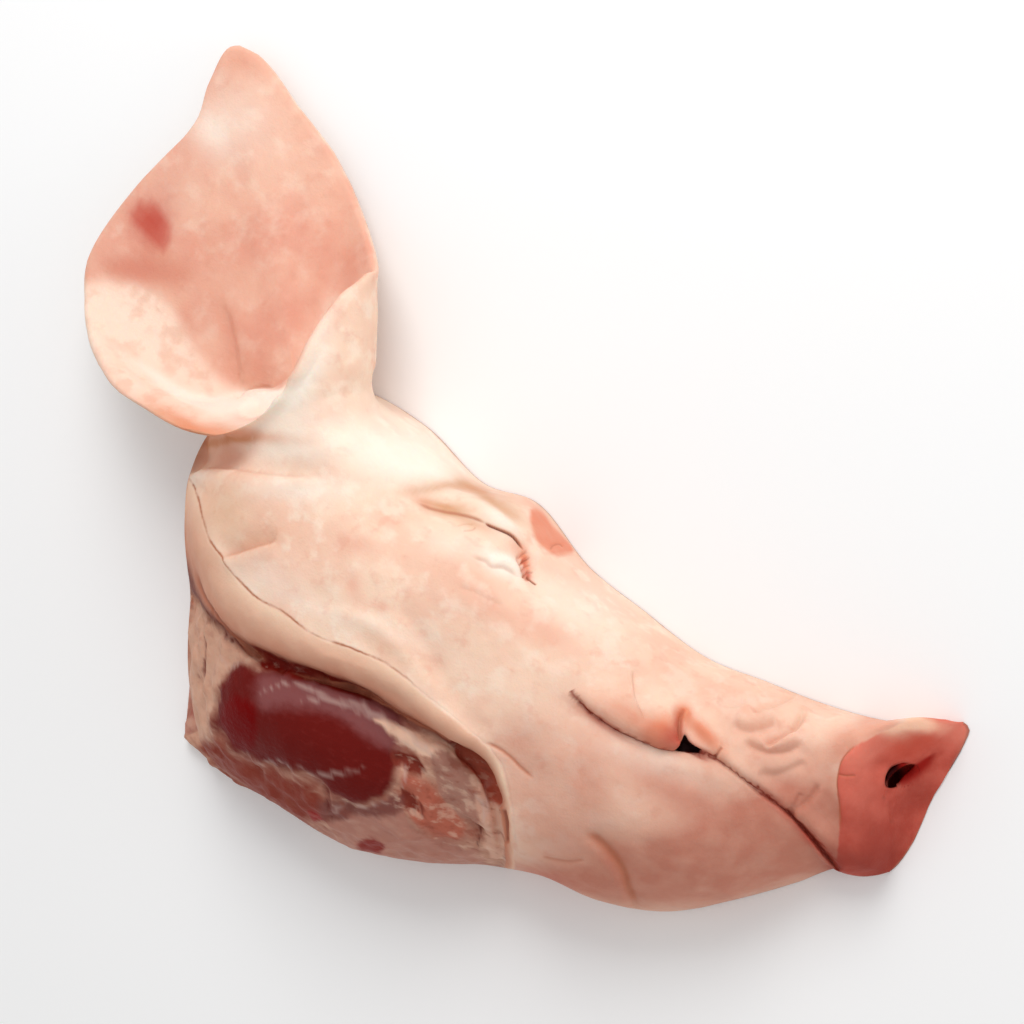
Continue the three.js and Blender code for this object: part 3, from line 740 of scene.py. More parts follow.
def cheek(s, t):
    """The bare cheek, pulled in along the jowl, lifted by its mounds and lips and lowered by the
    jowl's cut."""
    point = bare_cheek(s, t)
    fade = ease(point[..., 2], *RELIEF_FADE)
    pull = ease(trail(SKIN_CURVE, sight(point))[0], *JOWL_PULL_SPAN) * fade
    point[..., :2] += np.array(JOWL_PULL) * pull[..., None]
    view = sight(point)
    cut = jowl_cut(trail(SKIN_CURVE, view)[0], trail(FAT_CURVE, view)[0])
    return slide(point, (bells(plan(point), MOUNDS) + lips(view) - cut) * fade)


def crossing(curve, s):
    """For each section, the share t at which it first crosses a curve in the picture."""
    t = np.linspace(0, 1, CROSSING_STEPS + 1)
    past = trail(curve, sight(bare_cheek(s[:, None], t[None, :])))[0]
    crosses = (past[:, 1:] > 0) & (past[:, :-1] < 0)
    i = np.argmax(crosses, axis=1)
    rows = np.arange(len(s))
    before, after = past[rows, i], past[rows, i + 1]
    return np.where(crosses.any(axis=1), t[i] + (t[1] - t[0]) * before / (before - after), 0.5)


def edge_shares(s):
    """Two shares t for each section, on the jowl's edges or on the mouth, for columns along them."""
    jowl_s = np.minimum(s, JOWL_SHARE)
    mouth_s = np.clip(s, MOUTH_SHARE, DISC_SHARE)
    slit = crossing(MOUTH_CURVE, mouth_s)
    jowl = np.stack([crossing(SKIN_CURVE, jowl_s), crossing(FAT_CURVE, jowl_s)], -1)
    mouth = np.stack([slit, slit + SLIT_STEP], -1)
    return blend(jowl, mouth, np.clip((s - JOWL_SHARE) / (MOUTH_SHARE - JOWL_SHARE), 0, 1))


def head_rings():
    """The head's rings as an array rows x columns x 3: the cheek, then the sawn face back along z = 0,
    and rings that close the snout with its disc and the nostril's pit, and the neck. With them comes
    the neck's middle, and the kind of each face."""
    s = np.linspace(0, 1, HEAD_ROWS)
    edges = edge_shares(s)
    first, second = edges[:, :1], edges[:, 1:]
    upper, band, lower = (np.linspace(0, 1, n, endpoint=False)[None, :] for n in SIDE_COLUMNS)
    t = np.hstack([first * upper, first + (second - first) * band,
                   second + (1 - second) * lower ** LOWER_CROWDING, np.ones_like(first)])
    side = cheek(s[:, None] * np.ones_like(t), t)
    side[:, [0, -1], 2] = 0
    share = (1 - np.cos(np.pi * np.linspace(0, 1, FACE_COLUMNS + 2)[1:-1])) / 2
    face = side[:, -1:, :] + (side[:, :1, :] - side[:, -1:, :]) * share[None, :, None]
    face[..., 0] += disc_bulge(s[:, None], 1 - share[None, :])
    rings = np.concatenate([side, face], axis=1)
    edge = rings[-1]
    inward = np.array([-DISC_HEIGHT, 0.0, -DISC_SWEEP]) / math.hypot(DISC_HEIGHT, DISC_SWEEP)
    upward = np.array([-DISC_SWEEP, 0.0, DISC_HEIGHT]) / math.hypot(DISC_HEIGHT, DISC_SWEEP)
    arm = edge - NOSTRIL
    angle = np.arctan2(arm @ upward, arm[:, 1])
    long_half, short_half = NOSTRIL_HALF
    turned = angle - NOSTRIL_TURN
    radius = long_half * short_half / np.hypot(short_half * np.cos(turned), long_half * np.sin(turned))
    oval = (np.sin(angle) * radius)[:, None] * upward
    oval[:, 1] = np.cos(angle) * radius
    size, round_share, depth = spline(DISC_ROWS, np.linspace(0, 1, DISC_STEPS + 1)[1:]).T
    disc = blend(arm * size[:, None, None], np.broadcast_to(oval, (DISC_STEPS, *oval.shape)),
                 round_share[:, None] * np.ones(len(edge)))
    proud = np.minimum(depth, 0)[:, None] * ease(edge[:, 2], *RIM_FADE)[None, :]
    disc = disc + NOSTRIL + (np.maximum(depth, 0)[:, None] + proud)[..., None] * inward
    middle = rings[0].mean(axis=0)
    neck_share = np.linspace(0, 1, NECK_STEPS, endpoint=False)[1:, None, None] ** 2
    neck = rings[0] + (middle - rings[0]) * neck_share
    surface = np.concatenate([neck[::-1], rings, disc])
    kind = np.full(surface.shape[:2], FLESH)
    kind[:, side.shape[1] - 1:] = SAWN
    kind[:NECK_STEPS - 1] = NECK
    kind[NECK_STEPS + HEAD_ROWS - 2:] = DISC
    return surface, middle, kind


def near(u, share, reach):
    """A bell round the rim, whose ends meet."""
    return bell((u - share + 0.5) % 1 - 0.5, reach)


def bowl(u, w):
    """The ear's concave side: from the canal straight out to the rim, dished in the middle, with a
    steep wall on the neck side and a hood that leans over the canal in front."""
    edge = loop(EAR_RIM, u)
    wall = near(u, WALL_SHARE, WALL_REACH)
    hood = near(u, HOOD_SHARE, HOOD_REACH)
    point = blend(np.broadcast_to(EAR_CANAL, edge.shape), edge, w)
    arch = np.sin(np.pi * w)
    depth = (BOWL_DEPTH + WALL_DEPTH * wall + HOOD_DEPTH * hood) * (1 - w / 2)
    rise = w ** (1 + WALL_STEEPER * wall + HOOD_STEEPER * hood)
    point[..., 2] = EAR_CANAL[2] + (edge[..., 2] - EAR_CANAL[2]) * rise - depth * arch
    return point + (hood * arch)[..., None] * HOOD_SHIFT


def ear_back(u, w):
    """The ear's other side, a flesh thickness behind the bowl. In front it runs down to the base,
    and all of it closes on a point inside the head."""
    down = np.array([0.0, 0.0, -1.0]) + near(u, WALL_SHARE, WALL_REACH)[..., None] * WALL_AWAY
    away = blend(down, np.broadcast_to(HOOD_AWAY, down.shape), near(u, HOOD_SHARE, HOOD_REACH))
    away /= np.linalg.norm(away, axis=-1, keepdims=True)
    behind = bowl(u, w) + away * (EAR_THICKNESS + EAR_FLESH * (1 - w))[..., None]
    first, last = BASE_SHARES
    foot = spline(EAR_BASE, (u - first) / (last - first))
    front = blend(loop(EAR_RIM, u) + away * EAR_THICKNESS, foot, np.clip((1 - w) / (1 - EAR_FOOT), 0, 1))
    behind = blend(behind, front, ease(last - u, *BASE_BLEND) * ease(u - first, *BASE_BLEND))
    return blend(np.broadcast_to(EAR_ROOT, behind.shape), behind, ease(w, 0, EAR_FOOT))


def ear_rings():
    """Rings of the ear from the canal out over the rounded rim and back behind to the root, and the
    kind of each face."""
    u = np.linspace(0, 1, EAR_COLUMNS, endpoint=False)[None, :]
    w_in = np.linspace(0, 1, BOWL_ROWS)[1:, None]
    w_out = np.linspace(1, 0, BACK_ROWS)[:-1, None]
    inner = bowl(*np.broadcast_arrays(u, w_in))
    outer = ear_back(*np.broadcast_arrays(u, w_out))
    turn = np.linspace(0, np.pi, LIP_ROWS + 2)[1:-1, None, None]
    outward = inner[-1] - inner[-4]
    outward /= np.linalg.norm(outward, axis=-1, keepdims=True)
    half = np.linalg.norm(inner[-1] - outer[0], axis=-1, keepdims=True) / 2
    inner -= outward * half * ease(w_in[..., None], LIP_START, 1)
    outer -= outward * half * ease(w_out[..., None], LIP_START, 1)
    middle = (inner[-1] + outer[0]) / 2
    lip = middle + (inner[-1] - middle) * np.cos(turn) + outward * half * np.sin(turn)
    rings = np.concatenate([inner, lip, outer])
    kind = np.full(rings.shape[:2], EAR_OUTSIDE)
    kind[:BOWL_ROWS + 1] = BOWL
    return rings, kind


def ring_mesh(name, rings, kind, start, end):
    """A closed mesh of quads between rings, with a fan of triangles from each end to a point. Each
    face takes its kind, as its material's number, from its first corner."""
    rows, columns = rings.shape[:2]
    points = np.vstack([rings.reshape(-1, 3), start, end])
    i = np.arange(rows - 1)[:, None] * columns
    j = np.arange(columns)[None, :]
    k = (j + 1) % columns
    quads = np.stack([i + j, i + k, i + columns + k, i + columns + j], -1).reshape(-1, 4)
    last = (rows - 1) * columns
    first_fan = np.stack([np.full(columns, rows * columns), k[0], j[0]], -1)
    last_fan = np.stack([np.full(columns, rows * columns + 1), last + j[0], last + k[0]], -1)
    made = bpy.data.meshes.new(name)
    made.from_pydata(points.tolist(), [], quads.tolist() + first_fan.tolist() + last_fan.tolist())
    for _ in range(EAR_OUTSIDE + 1):
        made.materials.append(None)
    kinds = np.concatenate([kind[:-1].ravel(), kind[0], kind[-1]]).astype(np.int32)
    made.polygons.foreach_set("material_index", kinds)
    made.update()
    shown = bpy.data.objects.new(name, made)
    bpy.context.scene.collection.objects.link(shown)
    return shown


def joined(body, other):
    """The union of two closed meshes as a new mesh."""
    union = body.modifiers.new("join", "BOOLEAN")
    union.operation = "UNION"
    union.solver = "MANIFOLD"
    union.object = other
    shown = body.evaluated_get(bpy.context.evaluated_depsgraph_get())
    made = bpy.data.meshes.new_from_object(shown)
    for old in (body, other):
        bpy.data.objects.remove(old)
    return made


def read(items, name, width, kind=float):
    """An array of one property of a mesh's items."""
    values = np.zeros(len(items) * width, kind)
    items.foreach_get(name, values)
    return values.reshape(-1, width) if width > 1 else values


def normals_of(made, co):
    """Normals of the mesh's points once they are at co."""
    made.vertices.foreach_set("co", co.ravel())
    made.update()
    return read(made.vertex_normals, "vector", 3)


def share_of(made, kinds):
    """For each point, the share of its faces whose kind is among the given ones."""
    corner_point = read(made.loops, "vertex_index", 1, np.int32)
    face_kind = read(made.polygons, "material_index", 1, np.int32)
    corner_kind = np.repeat(face_kind, read(made.polygons, "loop_total", 1, np.int32))
    count = np.bincount(corner_point, minlength=len(made.vertices))
    chosen = np.bincount(corner_point, np.isin(corner_kind, kinds).astype(float), len(made.vertices))
    return chosen / np.maximum(count, 1)


def relaxed(co, edges, weight, passes):
    """Points moved towards their neighbours' mean by a weight of 0 to 1 each, in some passes."""
    count = np.bincount(edges.ravel(), minlength=len(co))[:, None]
    for _ in range(passes):
        total = np.zeros_like(co)
        for axis in range(3):
            total[:, axis] = np.bincount(edges[:, 0], co[edges[:, 1], axis], len(co))
            total[:, axis] += np.bincount(edges[:, 1], co[edges[:, 0], axis], len(co))
        co = co + (total / count - co) * weight[:, None]
    return co


def gap_to(seeds, co, margin):
    """Distance from each point to the nearest of every second seed, where it is under a margin."""
    low, high = seeds.min(axis=0) - margin, seeds.max(axis=0) + margin
    gap = np.full(len(co), 2.0 * margin)
    for group in np.array_split(np.flatnonzero(((co > low) & (co < high)).all(axis=1)), GROUPS):
        gap[group] = np.sqrt(((co[group][:, None] - seeds[None, ::2]) ** 2).sum(-1).min(axis=1))
    return gap


def split(shown, wanted):
    """Split in four each face of a mesh whose points are all wanted."""
    made = shown.data
    corner_point = read(made.loops, "vertex_index", 1, np.int32)
    starts = read(made.polygons, "loop_start", 1, np.int32)
    chosen = np.minimum.reduceat(wanted[corner_point].astype(np.int8), starts).astype(bool)
    made.vertices.foreach_set("select", np.zeros(len(made.vertices), bool))
    made.edges.foreach_set("select", np.zeros(len(made.edges), bool))
    made.polygons.foreach_set("select", chosen)
    bpy.context.view_layer.objects.active = shown
    for other in bpy.context.view_layer.objects:
        other.select_set(other == shown)
    bpy.context.tool_settings.mesh_select_mode = (False, False, True)
    bpy.ops.object.mode_set(mode="EDIT")
    bpy.ops.mesh.subdivide(number_cuts=1)
    bpy.ops.object.mode_set(mode="OBJECT")


# Random numbers on a lattice, the same in each run
NOISE_TABLE = np.random.default_rng(11).uniform(-1, 1, (32, 32, 32))


def noise(point, size):
    """Smooth random waves of about the given size in mm: numbers on a lattice, eased between."""
    at = point / size
    cell = np.floor(at).astype(int)
    w = at - cell
    w = w * w * (3 - 2 * w)
    total = np.zeros(len(point))
    for corner in np.ndindex(2, 2, 2):
        i = (cell + corner) % len(NOISE_TABLE)
        share = np.where(corner, w, 1 - w).prod(axis=1)
        total += share * NOISE_TABLE[i[:, 0], i[:, 1], i[:, 2]]
    return total


def waves(point, table):
    """Sum of random waves, each with a size and a height."""
    return sum(height * noise(point, size) for size, height in table)


def close_to(curve, view, margin):
    """Numbers of the places inside a curve's box with a margin."""
    low, high = curve.min(axis=0) - margin, curve.max(axis=0) + margin
    return np.flatnonzero(((view > low) & (view < high)).all(axis=1))


def lines_under(width):
    """The lines of the creases narrower than a width, in the picture plane."""
    narrow = [pixels for pixels, _, half_width, _, _, _ in CREASES if half_width < width]
    return [drawn(pixels, COARSE_STEPS * len(pixels)) for pixels in narrow]


def creases(view):
    """Height and painted shade for places in the picture. Each line lowers a valley, exp(-(d/w)^2), and
    steps up to its right, tanh(d/w), both fading out at its ends; the shade darkens the valley's floor."""
    height = np.zeros(len(view))
    dark = np.zeros(len(view))
    for pixels, depth, width, step, reach, darkness in CREASES:
        curve = drawn(pixels, CURVE_STEPS * len(pixels))
        i = close_to(curve, view, CREASE_MARGIN * reach)
        distance, share = trail(curve, view[i])
        taper = ease(share, 0, CREASE_TAPER) * (1 - ease(share, 1 - CREASE_TAPER, 1))
        valley = bell(distance, width)
        height[i] += taper * (step * np.tanh(distance / width) * bell(distance, reach) - depth * valley)
        dark[i] = np.maximum(dark[i], darkness * taper * bell(distance, width * CREASE_DARK))
    return height, dark


def lines(table, view):
    """Strength of streaks for places in the picture: a bell beside each line, times the square root
    of a half sine along it."""
    total = np.zeros(len(view))
    for pixels in table:
        curve = drawn(pixels, CURVE_STEPS * len(pixels))
        i = close_to(curve, view, 4 * STREAK_REACH)
        distance, share = trail(curve, view[i])
        total[i] = np.maximum(total[i], bell(distance, STREAK_REACH) * np.sin(np.pi * share) ** 0.5)
    return total


def inside(outline, view, margin=12.0):
    """Signed distance in mm to a closed outline in the picture, positive inside it: a place is
    inside if the outline passes an odd number of times to its right."""
    curve = loop(from_photo(outline), np.linspace(0, 1, CURVE_STEPS * len(outline)))
    i = close_to(curve, view, margin)
    out = np.full(len(view), -margin)
    x, y = view[i].T
    odd = np.zeros(len(i), bool)
    for (x0, y0), (x1, y1) in zip(curve[:-1], curve[1:]):
        if y0 != y1:
            odd ^= ((y0 > y) != (y1 > y)) & (x < x0 + (y - y0) * (x1 - x0) / (y1 - y0))
    gap = np.abs(trail(curve, view[i])[0])
    out[i] = np.where(odd, gap, -gap)
    return np.maximum(out, -margin)


def refine(piece):
    """Split in four, twice, the faces near narrow creases, the mouth's line and the throat's hole."""
    for reach, width in zip(FINE_REACHES, FINE_WIDTHS):
        co = read(piece.data.vertices, "co", 3)
        view = sight(co)
        wanted = np.abs(trail(MOUTH_CURVE, view)[0]) < MOUTH_FINE * reach
        wanted |= np.abs(inside(AREAS["throat_hole"][0], view)) < HOLE_FINE * reach
        for curve in lines_under(width):
            i = close_to(curve, view, reach)
            wanted[i] |= np.abs(trail(curve, view[i])[0]) < reach
        seen = normals_of(piece.data, co) @ BACKWARD > FINE_TURN
        split(piece, wanted & seen & (co[:, 2] > FINE_HEIGHT))


def evened(made, on_ear, on_disc):
    """Places of a mesh's points with the ear's joint, the disc and its edge evened out."""
    co = read(made.vertices, "co", 3)
    edges = read(made.edges, "vertices", 2, np.int32)
    gap = gap_to(co[(on_ear > 0) & (on_ear < 1)], co, JOINT_REACH)
    beside = ease(gap, JOINT_FULL * JOINT_REACH, JOINT_REACH)
    co = relaxed(co, edges, JOINT_WEIGHT * (1 - beside), JOINT_PASSES)
    gap = gap_to(co[(on_disc > 0) & (on_disc < 1) & (co[:, 2] > RIM_HEIGHT)], co, RIM_REACH)
    beside = ease(gap, 0, RIM_REACH)
    plain = ease(np.linalg.norm((co - NOSTRIL) / NOSTRIL_CLEAR, axis=1), 1, NOSTRIL_FADE)
    co = relaxed(co, edges, RIM_WEIGHT * (on_disc == 1) * plain * beside, DISC_PASSES)
    return relaxed(co, edges, RIM_WEIGHT * (1 - beside) * ease(co[:, 2], 1, RIM_HEIGHT), RIM_PASSES)


head_surface, neck_middle, head_kind = head_rings()
ear_surface, ear_kind = ear_rings()
head = ring_mesh("head", head_surface, head_kind, neck_middle, head_surface[-1].mean(axis=0))
ear = ring_mesh("ear", ear_surface, ear_kind, EAR_CANAL, EAR_ROOT)
mesh = joined(head, ear)
mesh.name = "half_head"
piece = bpy.data.objects.new("half_head", mesh)
bpy.context.scene.collection.objects.link(piece)
refine(piece)
on_disc = share_of(mesh, [DISC])
co = evened(mesh, share_of(mesh, [BOWL, EAR_OUTSIDE]), on_disc)

# Where each point lies in the picture: which way it faces, and past which edges, areas and streaks
normal = normals_of(mesh, co)
view = sight(co)
on_cut = share_of(mesh, [FLESH, NECK])
past_skin = trail(SKIN_CURVE, view)[0]
past_fat = trail(FAT_CURVE, view)[0]
facing = ease(normal @ BACKWARD, *RELIEF_TURN)
meat = ease(past_fat, *CUT_SPAN) * on_cut
warp = np.stack([waves(co, WARP_WAVES), waves(co + WARP_SHIFT, WARP_WAVES)], -1)
warped = view + warp * (WARP_SKIN + WARP_CUT * meat)[:, None]
gaps = {name: inside(outline, warped) for name, (outline, _, _, _) in AREAS.items()}
streaks = {name: lines(STREAKS[name], warped) for name in STREAKS}

# The relief, raised along the normals and kept inside the solid's box
rise, crease_shade = creases(view)
rise += bells(view, [(from_photo(at), reach, turn, height) for at, reach, turn, height in LUMPS])
for name, (_, soft, height, reach) in AREAS.items():
    rise += height * ease(gaps[name], -soft, reach)
smooth = 1 - MUSCLE_SMOOTH[0] * ease(gaps["muscle"], 0, MUSCLE_SMOOTH[1])
rise += meat * smooth * (waves(co, CUT_WAVES) - CUT_SINK)
rise += (1 - meat) * waves(co, SKIN_WAVES)
rise += meat * (SHEATH_HEIGHT * streaks["sheath"] - CLEFT_DEPTH * streaks["cleft"])
co = co + normal * (facing * rise)[:, None]
co = np.clip(co, np.array(cad_low) / MM + ORIGIN, np.array(cad_high) / MM + ORIGIN)


def attribute(name, values):
    """Store one number for each point of the mesh under a name that the material reads."""
    mesh.attributes.new(name, "FLOAT", "POINT").data.foreach_set("value", values.astype(np.float32))


# What the material reads at each point
# Painted shade on the creases' floors
attribute("dark", crease_shade)
attribute("cut", on_cut)
attribute("past_skin", np.clip(past_skin, *EDGE_RANGE))
attribute("past_fat", np.clip(past_fat, *EDGE_RANGE))
attribute("skin_line", 1 - ease(trail(SKIN_CURVE, view)[1], *LINE_FADE))
distance, share = trail(MOUTH_CURVE, view)
distance += MOUTH_STRAY * noise(co, MOUTH_WAVE)
attribute("mouth", bell(distance / spline(MOUTH_WIDTH, share), 1) * (share > MOUTH_START))
on_band, share = trail(FAT_CURVE, view)
ramp = np.clip((on_band / spline(SHADE_REACH, share) + 1) / SHADE_FULL, 0, 1)
attribute("band_shade", ramp ** SHADE_POWER)
attribute("foot", bell(on_band - FOOT[0], FOOT[1]) * (1 - ease(share, *FOOT_FADE)) * on_cut)
attribute("bowl", share_of(mesh, [BOWL]))
attribute("sawn", share_of(mesh, [SAWN, NECK]))
front = np.maximum(ease(normal @ BACKWARD, *COLOUR_TURN), on_disc)
for name, (_, soft, _, _) in AREAS.items():
    attribute(name, ease(gaps[name], -soft, soft) * (facing if name in SMALL_AREAS else front))
for name in STREAKS:
    attribute(name, streaks[name] * meat)
for tone, patches in TONES.items():
    table = [(from_photo(at), reach, turn, strength) for at, reach, turn, strength in patches]
    attribute(tone, np.clip(bells(warped, table), 0, 1) * front)

mesh.vertices.foreach_set("co", ((co - ORIGIN) * MM).ravel())
mesh.polygons.foreach_set("use_smooth", np.ones(len(mesh.polygons), bool))
mesh.update()
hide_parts("pig_head")
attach(piece, "root")


class Signal:
    """A socket of a material's node tree. Arithmetic on it adds math nodes."""
    tree = None

    def __init__(self, socket):
        self.socket = socket

    @classmethod
    def node(cls, kind, settings, sockets, out=0):
        """Any node: its type, its settings, and values or signals for its sockets."""
        made = cls.tree.nodes.new(kind)
        for name, value in settings.items():
            setattr(made, name, value)
        for key, value in sockets.items():
            if isinstance(value, Signal):
                cls.tree.links.new(value.socket, made.inputs[key])
            else:
                made.inputs[key].default_value = value
        return cls(made.outputs[out])

    @classmethod
    def math(cls, operation, *terms):
        """A math node of an operation."""
        return cls.node("ShaderNodeMath", {"operation": operation}, dict(enumerate(terms)))

    def __add__(self, other):
        return self.math("ADD", self, other)

    def __radd__(self, other):
        return self.math("ADD", other, self)

    def __sub__(self, other):
        return self.math("SUBTRACT", self, other)

    def __rsub__(self, other):
        return self.math("SUBTRACT", other, self)

    def __mul__(self, other):
        return self.math("MULTIPLY", self, other)

    def __rmul__(self, other):
        return self.math("MULTIPLY", other, self)

    def __truediv__(self, other):
        return self.math("DIVIDE", self, other)

    def __rtruediv__(self, other):
        return self.math("DIVIDE", other, self)

    def __neg__(self):
        return self.math("MULTIPLY", self, -1.0)


def colour(red, green, blue):
    """Linear colour of a screen colour of 0 to 255."""
    parts = []
    for part in (red, green, blue):
        part = part / 255
        parts.append(part / 12.92 if part <= 0.04045 else ((part + 0.055) / 1.055) ** 2.4)
    return (*parts, 1.0)


def mixed(a, b, share):
    """Colour a where share is 0, b where it is 1."""
    return Signal.node("ShaderNodeMix", {"data_type": "RGBA"}, {0: share, 6: a, 7: b}, 2)


def stored(name):
    """A number stored on the mesh's points."""
    return Signal.node("ShaderNodeAttribute", {"attribute_name": name}, {}, "Fac")


def step(value, low, high):
    """Smooth step from 0 at low to 1 at high; high may be below low."""
    settings = {"interpolation_type": "SMOOTHSTEP"}
    return Signal.node("ShaderNodeMapRange", settings, {0: value, 1: low, 2: high, 3: 0.0, 4: 1.0})


def bump_of(distance, reach):
    """exp(-(distance / reach)^2) as a signal."""
    scaled = distance / reach
    return Signal.math("EXPONENT", -(scaled * scaled))


def grain(where, size, detail=2.0):
    """Noise of 0 to 1 with waves of about a size in metres."""
    return Signal.node("ShaderNodeTexNoise", {}, {"Vector": where, "Scale": 1 / size, "Detail": detail})


# Tones of the skin with their strength, and of the cut's tissues, each laid over the ones before
# The tan, deep and maroon tones below are partly painted shade
SKIN_TONES = [
    ("pink", (224, 152, 128), 0.75), ("tan", (206, 148, 108), 0.95), ("deep", (194, 126, 106), 0.95),
    ("smear", (220, 150, 126), 0.7), ("bruise", (200, 92, 76), 0.7), ("scrape", (228, 144, 116), 0.95),
    ("salmon", (226, 138, 104), 0.85), ("red", (190, 72, 58), 0.8), ("maroon_and_shade", (150, 68, 56), 0.8),
]
CUT_TONES = [
    ("pale", (208, 160, 136)), ("brown", (140, 60, 46)), ("muscle", (106, 24, 20)),
    ("fascia", (136, 78, 77)), ("bulb", (112, 0, 0)), ("bottom_fat", (184, 128, 112)),
    ("orange", (184, 104, 84)), ("light_fat", (240, 196, 170)), ("grey_lobe", (176, 126, 110)),
    # hollow and pocket: partly painted shade in their recesses
    ("strip", (216, 168, 146)), ("hollow", (134, 56, 44)), ("pocket", (128, 52, 40)),
    ("cavity", (186, 94, 72)), ("under", (132, 78, 70)), ("blood_strip", (120, 24, 16)),
    ("spot", (140, 44, 36)), ("spot_left", (150, 30, 24)),
]
# Share by which the strands roughen the borders of the cut's tissues
STRAND_ROUGH = 0.35
# Sizes in metres of the waves of the material's noises, and how the cut's strands are squeezed
BROAD, PATCHY, VEINED, ROUGH, FINE = 0.030, 0.010, 0.007, 0.003, 0.0009
STRAND, MOTTLE = 0.0025, 0.004
SQUEEZE = (0.5, 1.0, 0.7)
# Half width in mm of the line along the skin's edge
LINE_HALF = 0.5


def skin_tone(broad, patchy, veined):
    """Colour of the skin and of the ear's bowl, with the stored patches over both."""
    base = mixed(colour(246, 213, 189), colour(240, 196, 172), step(broad, 0.35, 0.65))
    base = mixed(base, colour(251, 230, 210), step(patchy, 0.48, 0.68) * 0.55)
    base = mixed(base, colour(230, 172, 148), step(veined, 0.54, 0.72) * 0.4)
    # Paler cream skin, partly painted highlight on lit tops
    base = mixed(base, colour(251, 240, 226), stored("cream_and_highlight") * 0.85)
    dish = mixed(colour(228, 162, 140), colour(236, 182, 158), step(broad, 0.35, 0.65))
    dish = mixed(dish, colour(246, 214, 192), step(patchy, 0.45, 0.75) * 0.4)
    dish = mixed(dish, colour(214, 140, 118), step(veined, 0.5, 0.75) * 0.25)
    # Painted light on the bowl's lower wall, which faces the lamp
    pale = mixed(colour(250, 218, 198), colour(238, 198, 176), step(patchy, 0.45, 0.65))
    dish = mixed(dish, pale, stored("ear_wall_painted_light"))
    base = mixed(base, dish, stored("bowl") * (1.0 - stored("cream_and_highlight") * 0.8))
    for name, shade, strength in SKIN_TONES:
        base = mixed(base, colour(*shade), stored(name) * (strength * (0.75 + 0.5 * patchy)))
    return base


def disc_tone(patchy):
    """Colour of the snout's disc and of its nostril."""
    disc = mixed(colour(206, 100, 84), colour(184, 76, 62), step(patchy, 0.3, 0.7))
    # Pinker lobes of the disc, partly painted highlight along its upper edge
    disc = mixed(disc, colour(230, 132, 112), stored("disc_pink_and_highlight") * 0.75)
    disc = mixed(disc, colour(200, 80, 60), stored("disc_red") * 0.6)
    # Darker maroon low on the disc, partly painted shade
    disc = mixed(disc, colour(142, 54, 44), stored("maroon_and_shade") * 0.8)
    light = step(stored("disc_pale") + (patchy - 0.5) * 0.5, 0.0, 1.0) * 0.9
    disc = mixed(disc, colour(255, 206, 176), light)
    # Near-black painted shade in the nostril's pit, then its red wall
    disc = mixed(disc, colour(50, 8, 8), stored("nostril"))
    return mixed(disc, colour(156, 20, 15), stored("nostril_wall") * 0.9)


def cut_tone(broad, patchy, strand, mottle):
    """Colour of the cut's tissues: each area's own, then light and dark mottles, the muscle's
    strands, the pale sheaths and the dark clefts."""
    tissue = mixed(colour(196, 146, 124), colour(168, 108, 92), step(broad + patchy * 0.6, 0.6, 1.0))
    for name, shade in CUT_TONES:
        share = step(stored(name) + (strand - 0.5) * STRAND_ROUGH, 0.1, 0.9)
        tissue = mixed(tissue, colour(*shade), share)
    muscle = stored("muscle")
    bare = 1.0 - step(muscle, 0.2, 0.8)
    firm = 1.0 - 0.95 * stored("brown")
    lean = 1.0 - 0.85 * stored("light_fat")
    smooth = 1.0 - 0.65 * stored("pale") - 0.75 * stored("bottom_fat")
    light = step(mottle, 0.52, 0.68) * 0.4 * bare * firm * smooth
    tissue = mixed(tissue, colour(236, 202, 178), light)
    dark = step(mottle, 0.48, 0.3) * 0.6 * bare * lean * smooth
    tissue = mixed(tissue, colour(146, 74, 58), dark)
    fibres = step(strand, 0.5, 0.8) * 0.2 * muscle * (1.0 - stored("bulb"))
    tissue = mixed(tissue, colour(146, 58, 54), fibres)
    tissue = mixed(tissue, colour(206, 176, 166), step(stored("sheath"), 0.1, 1.0) * 0.45)
    cleft = stored("cleft")
    deep = step(cleft + (mottle - 0.5) * 2.0, 0.3, 1.0) * cleft
    return mixed(tissue, colour(112, 42, 34), deep)


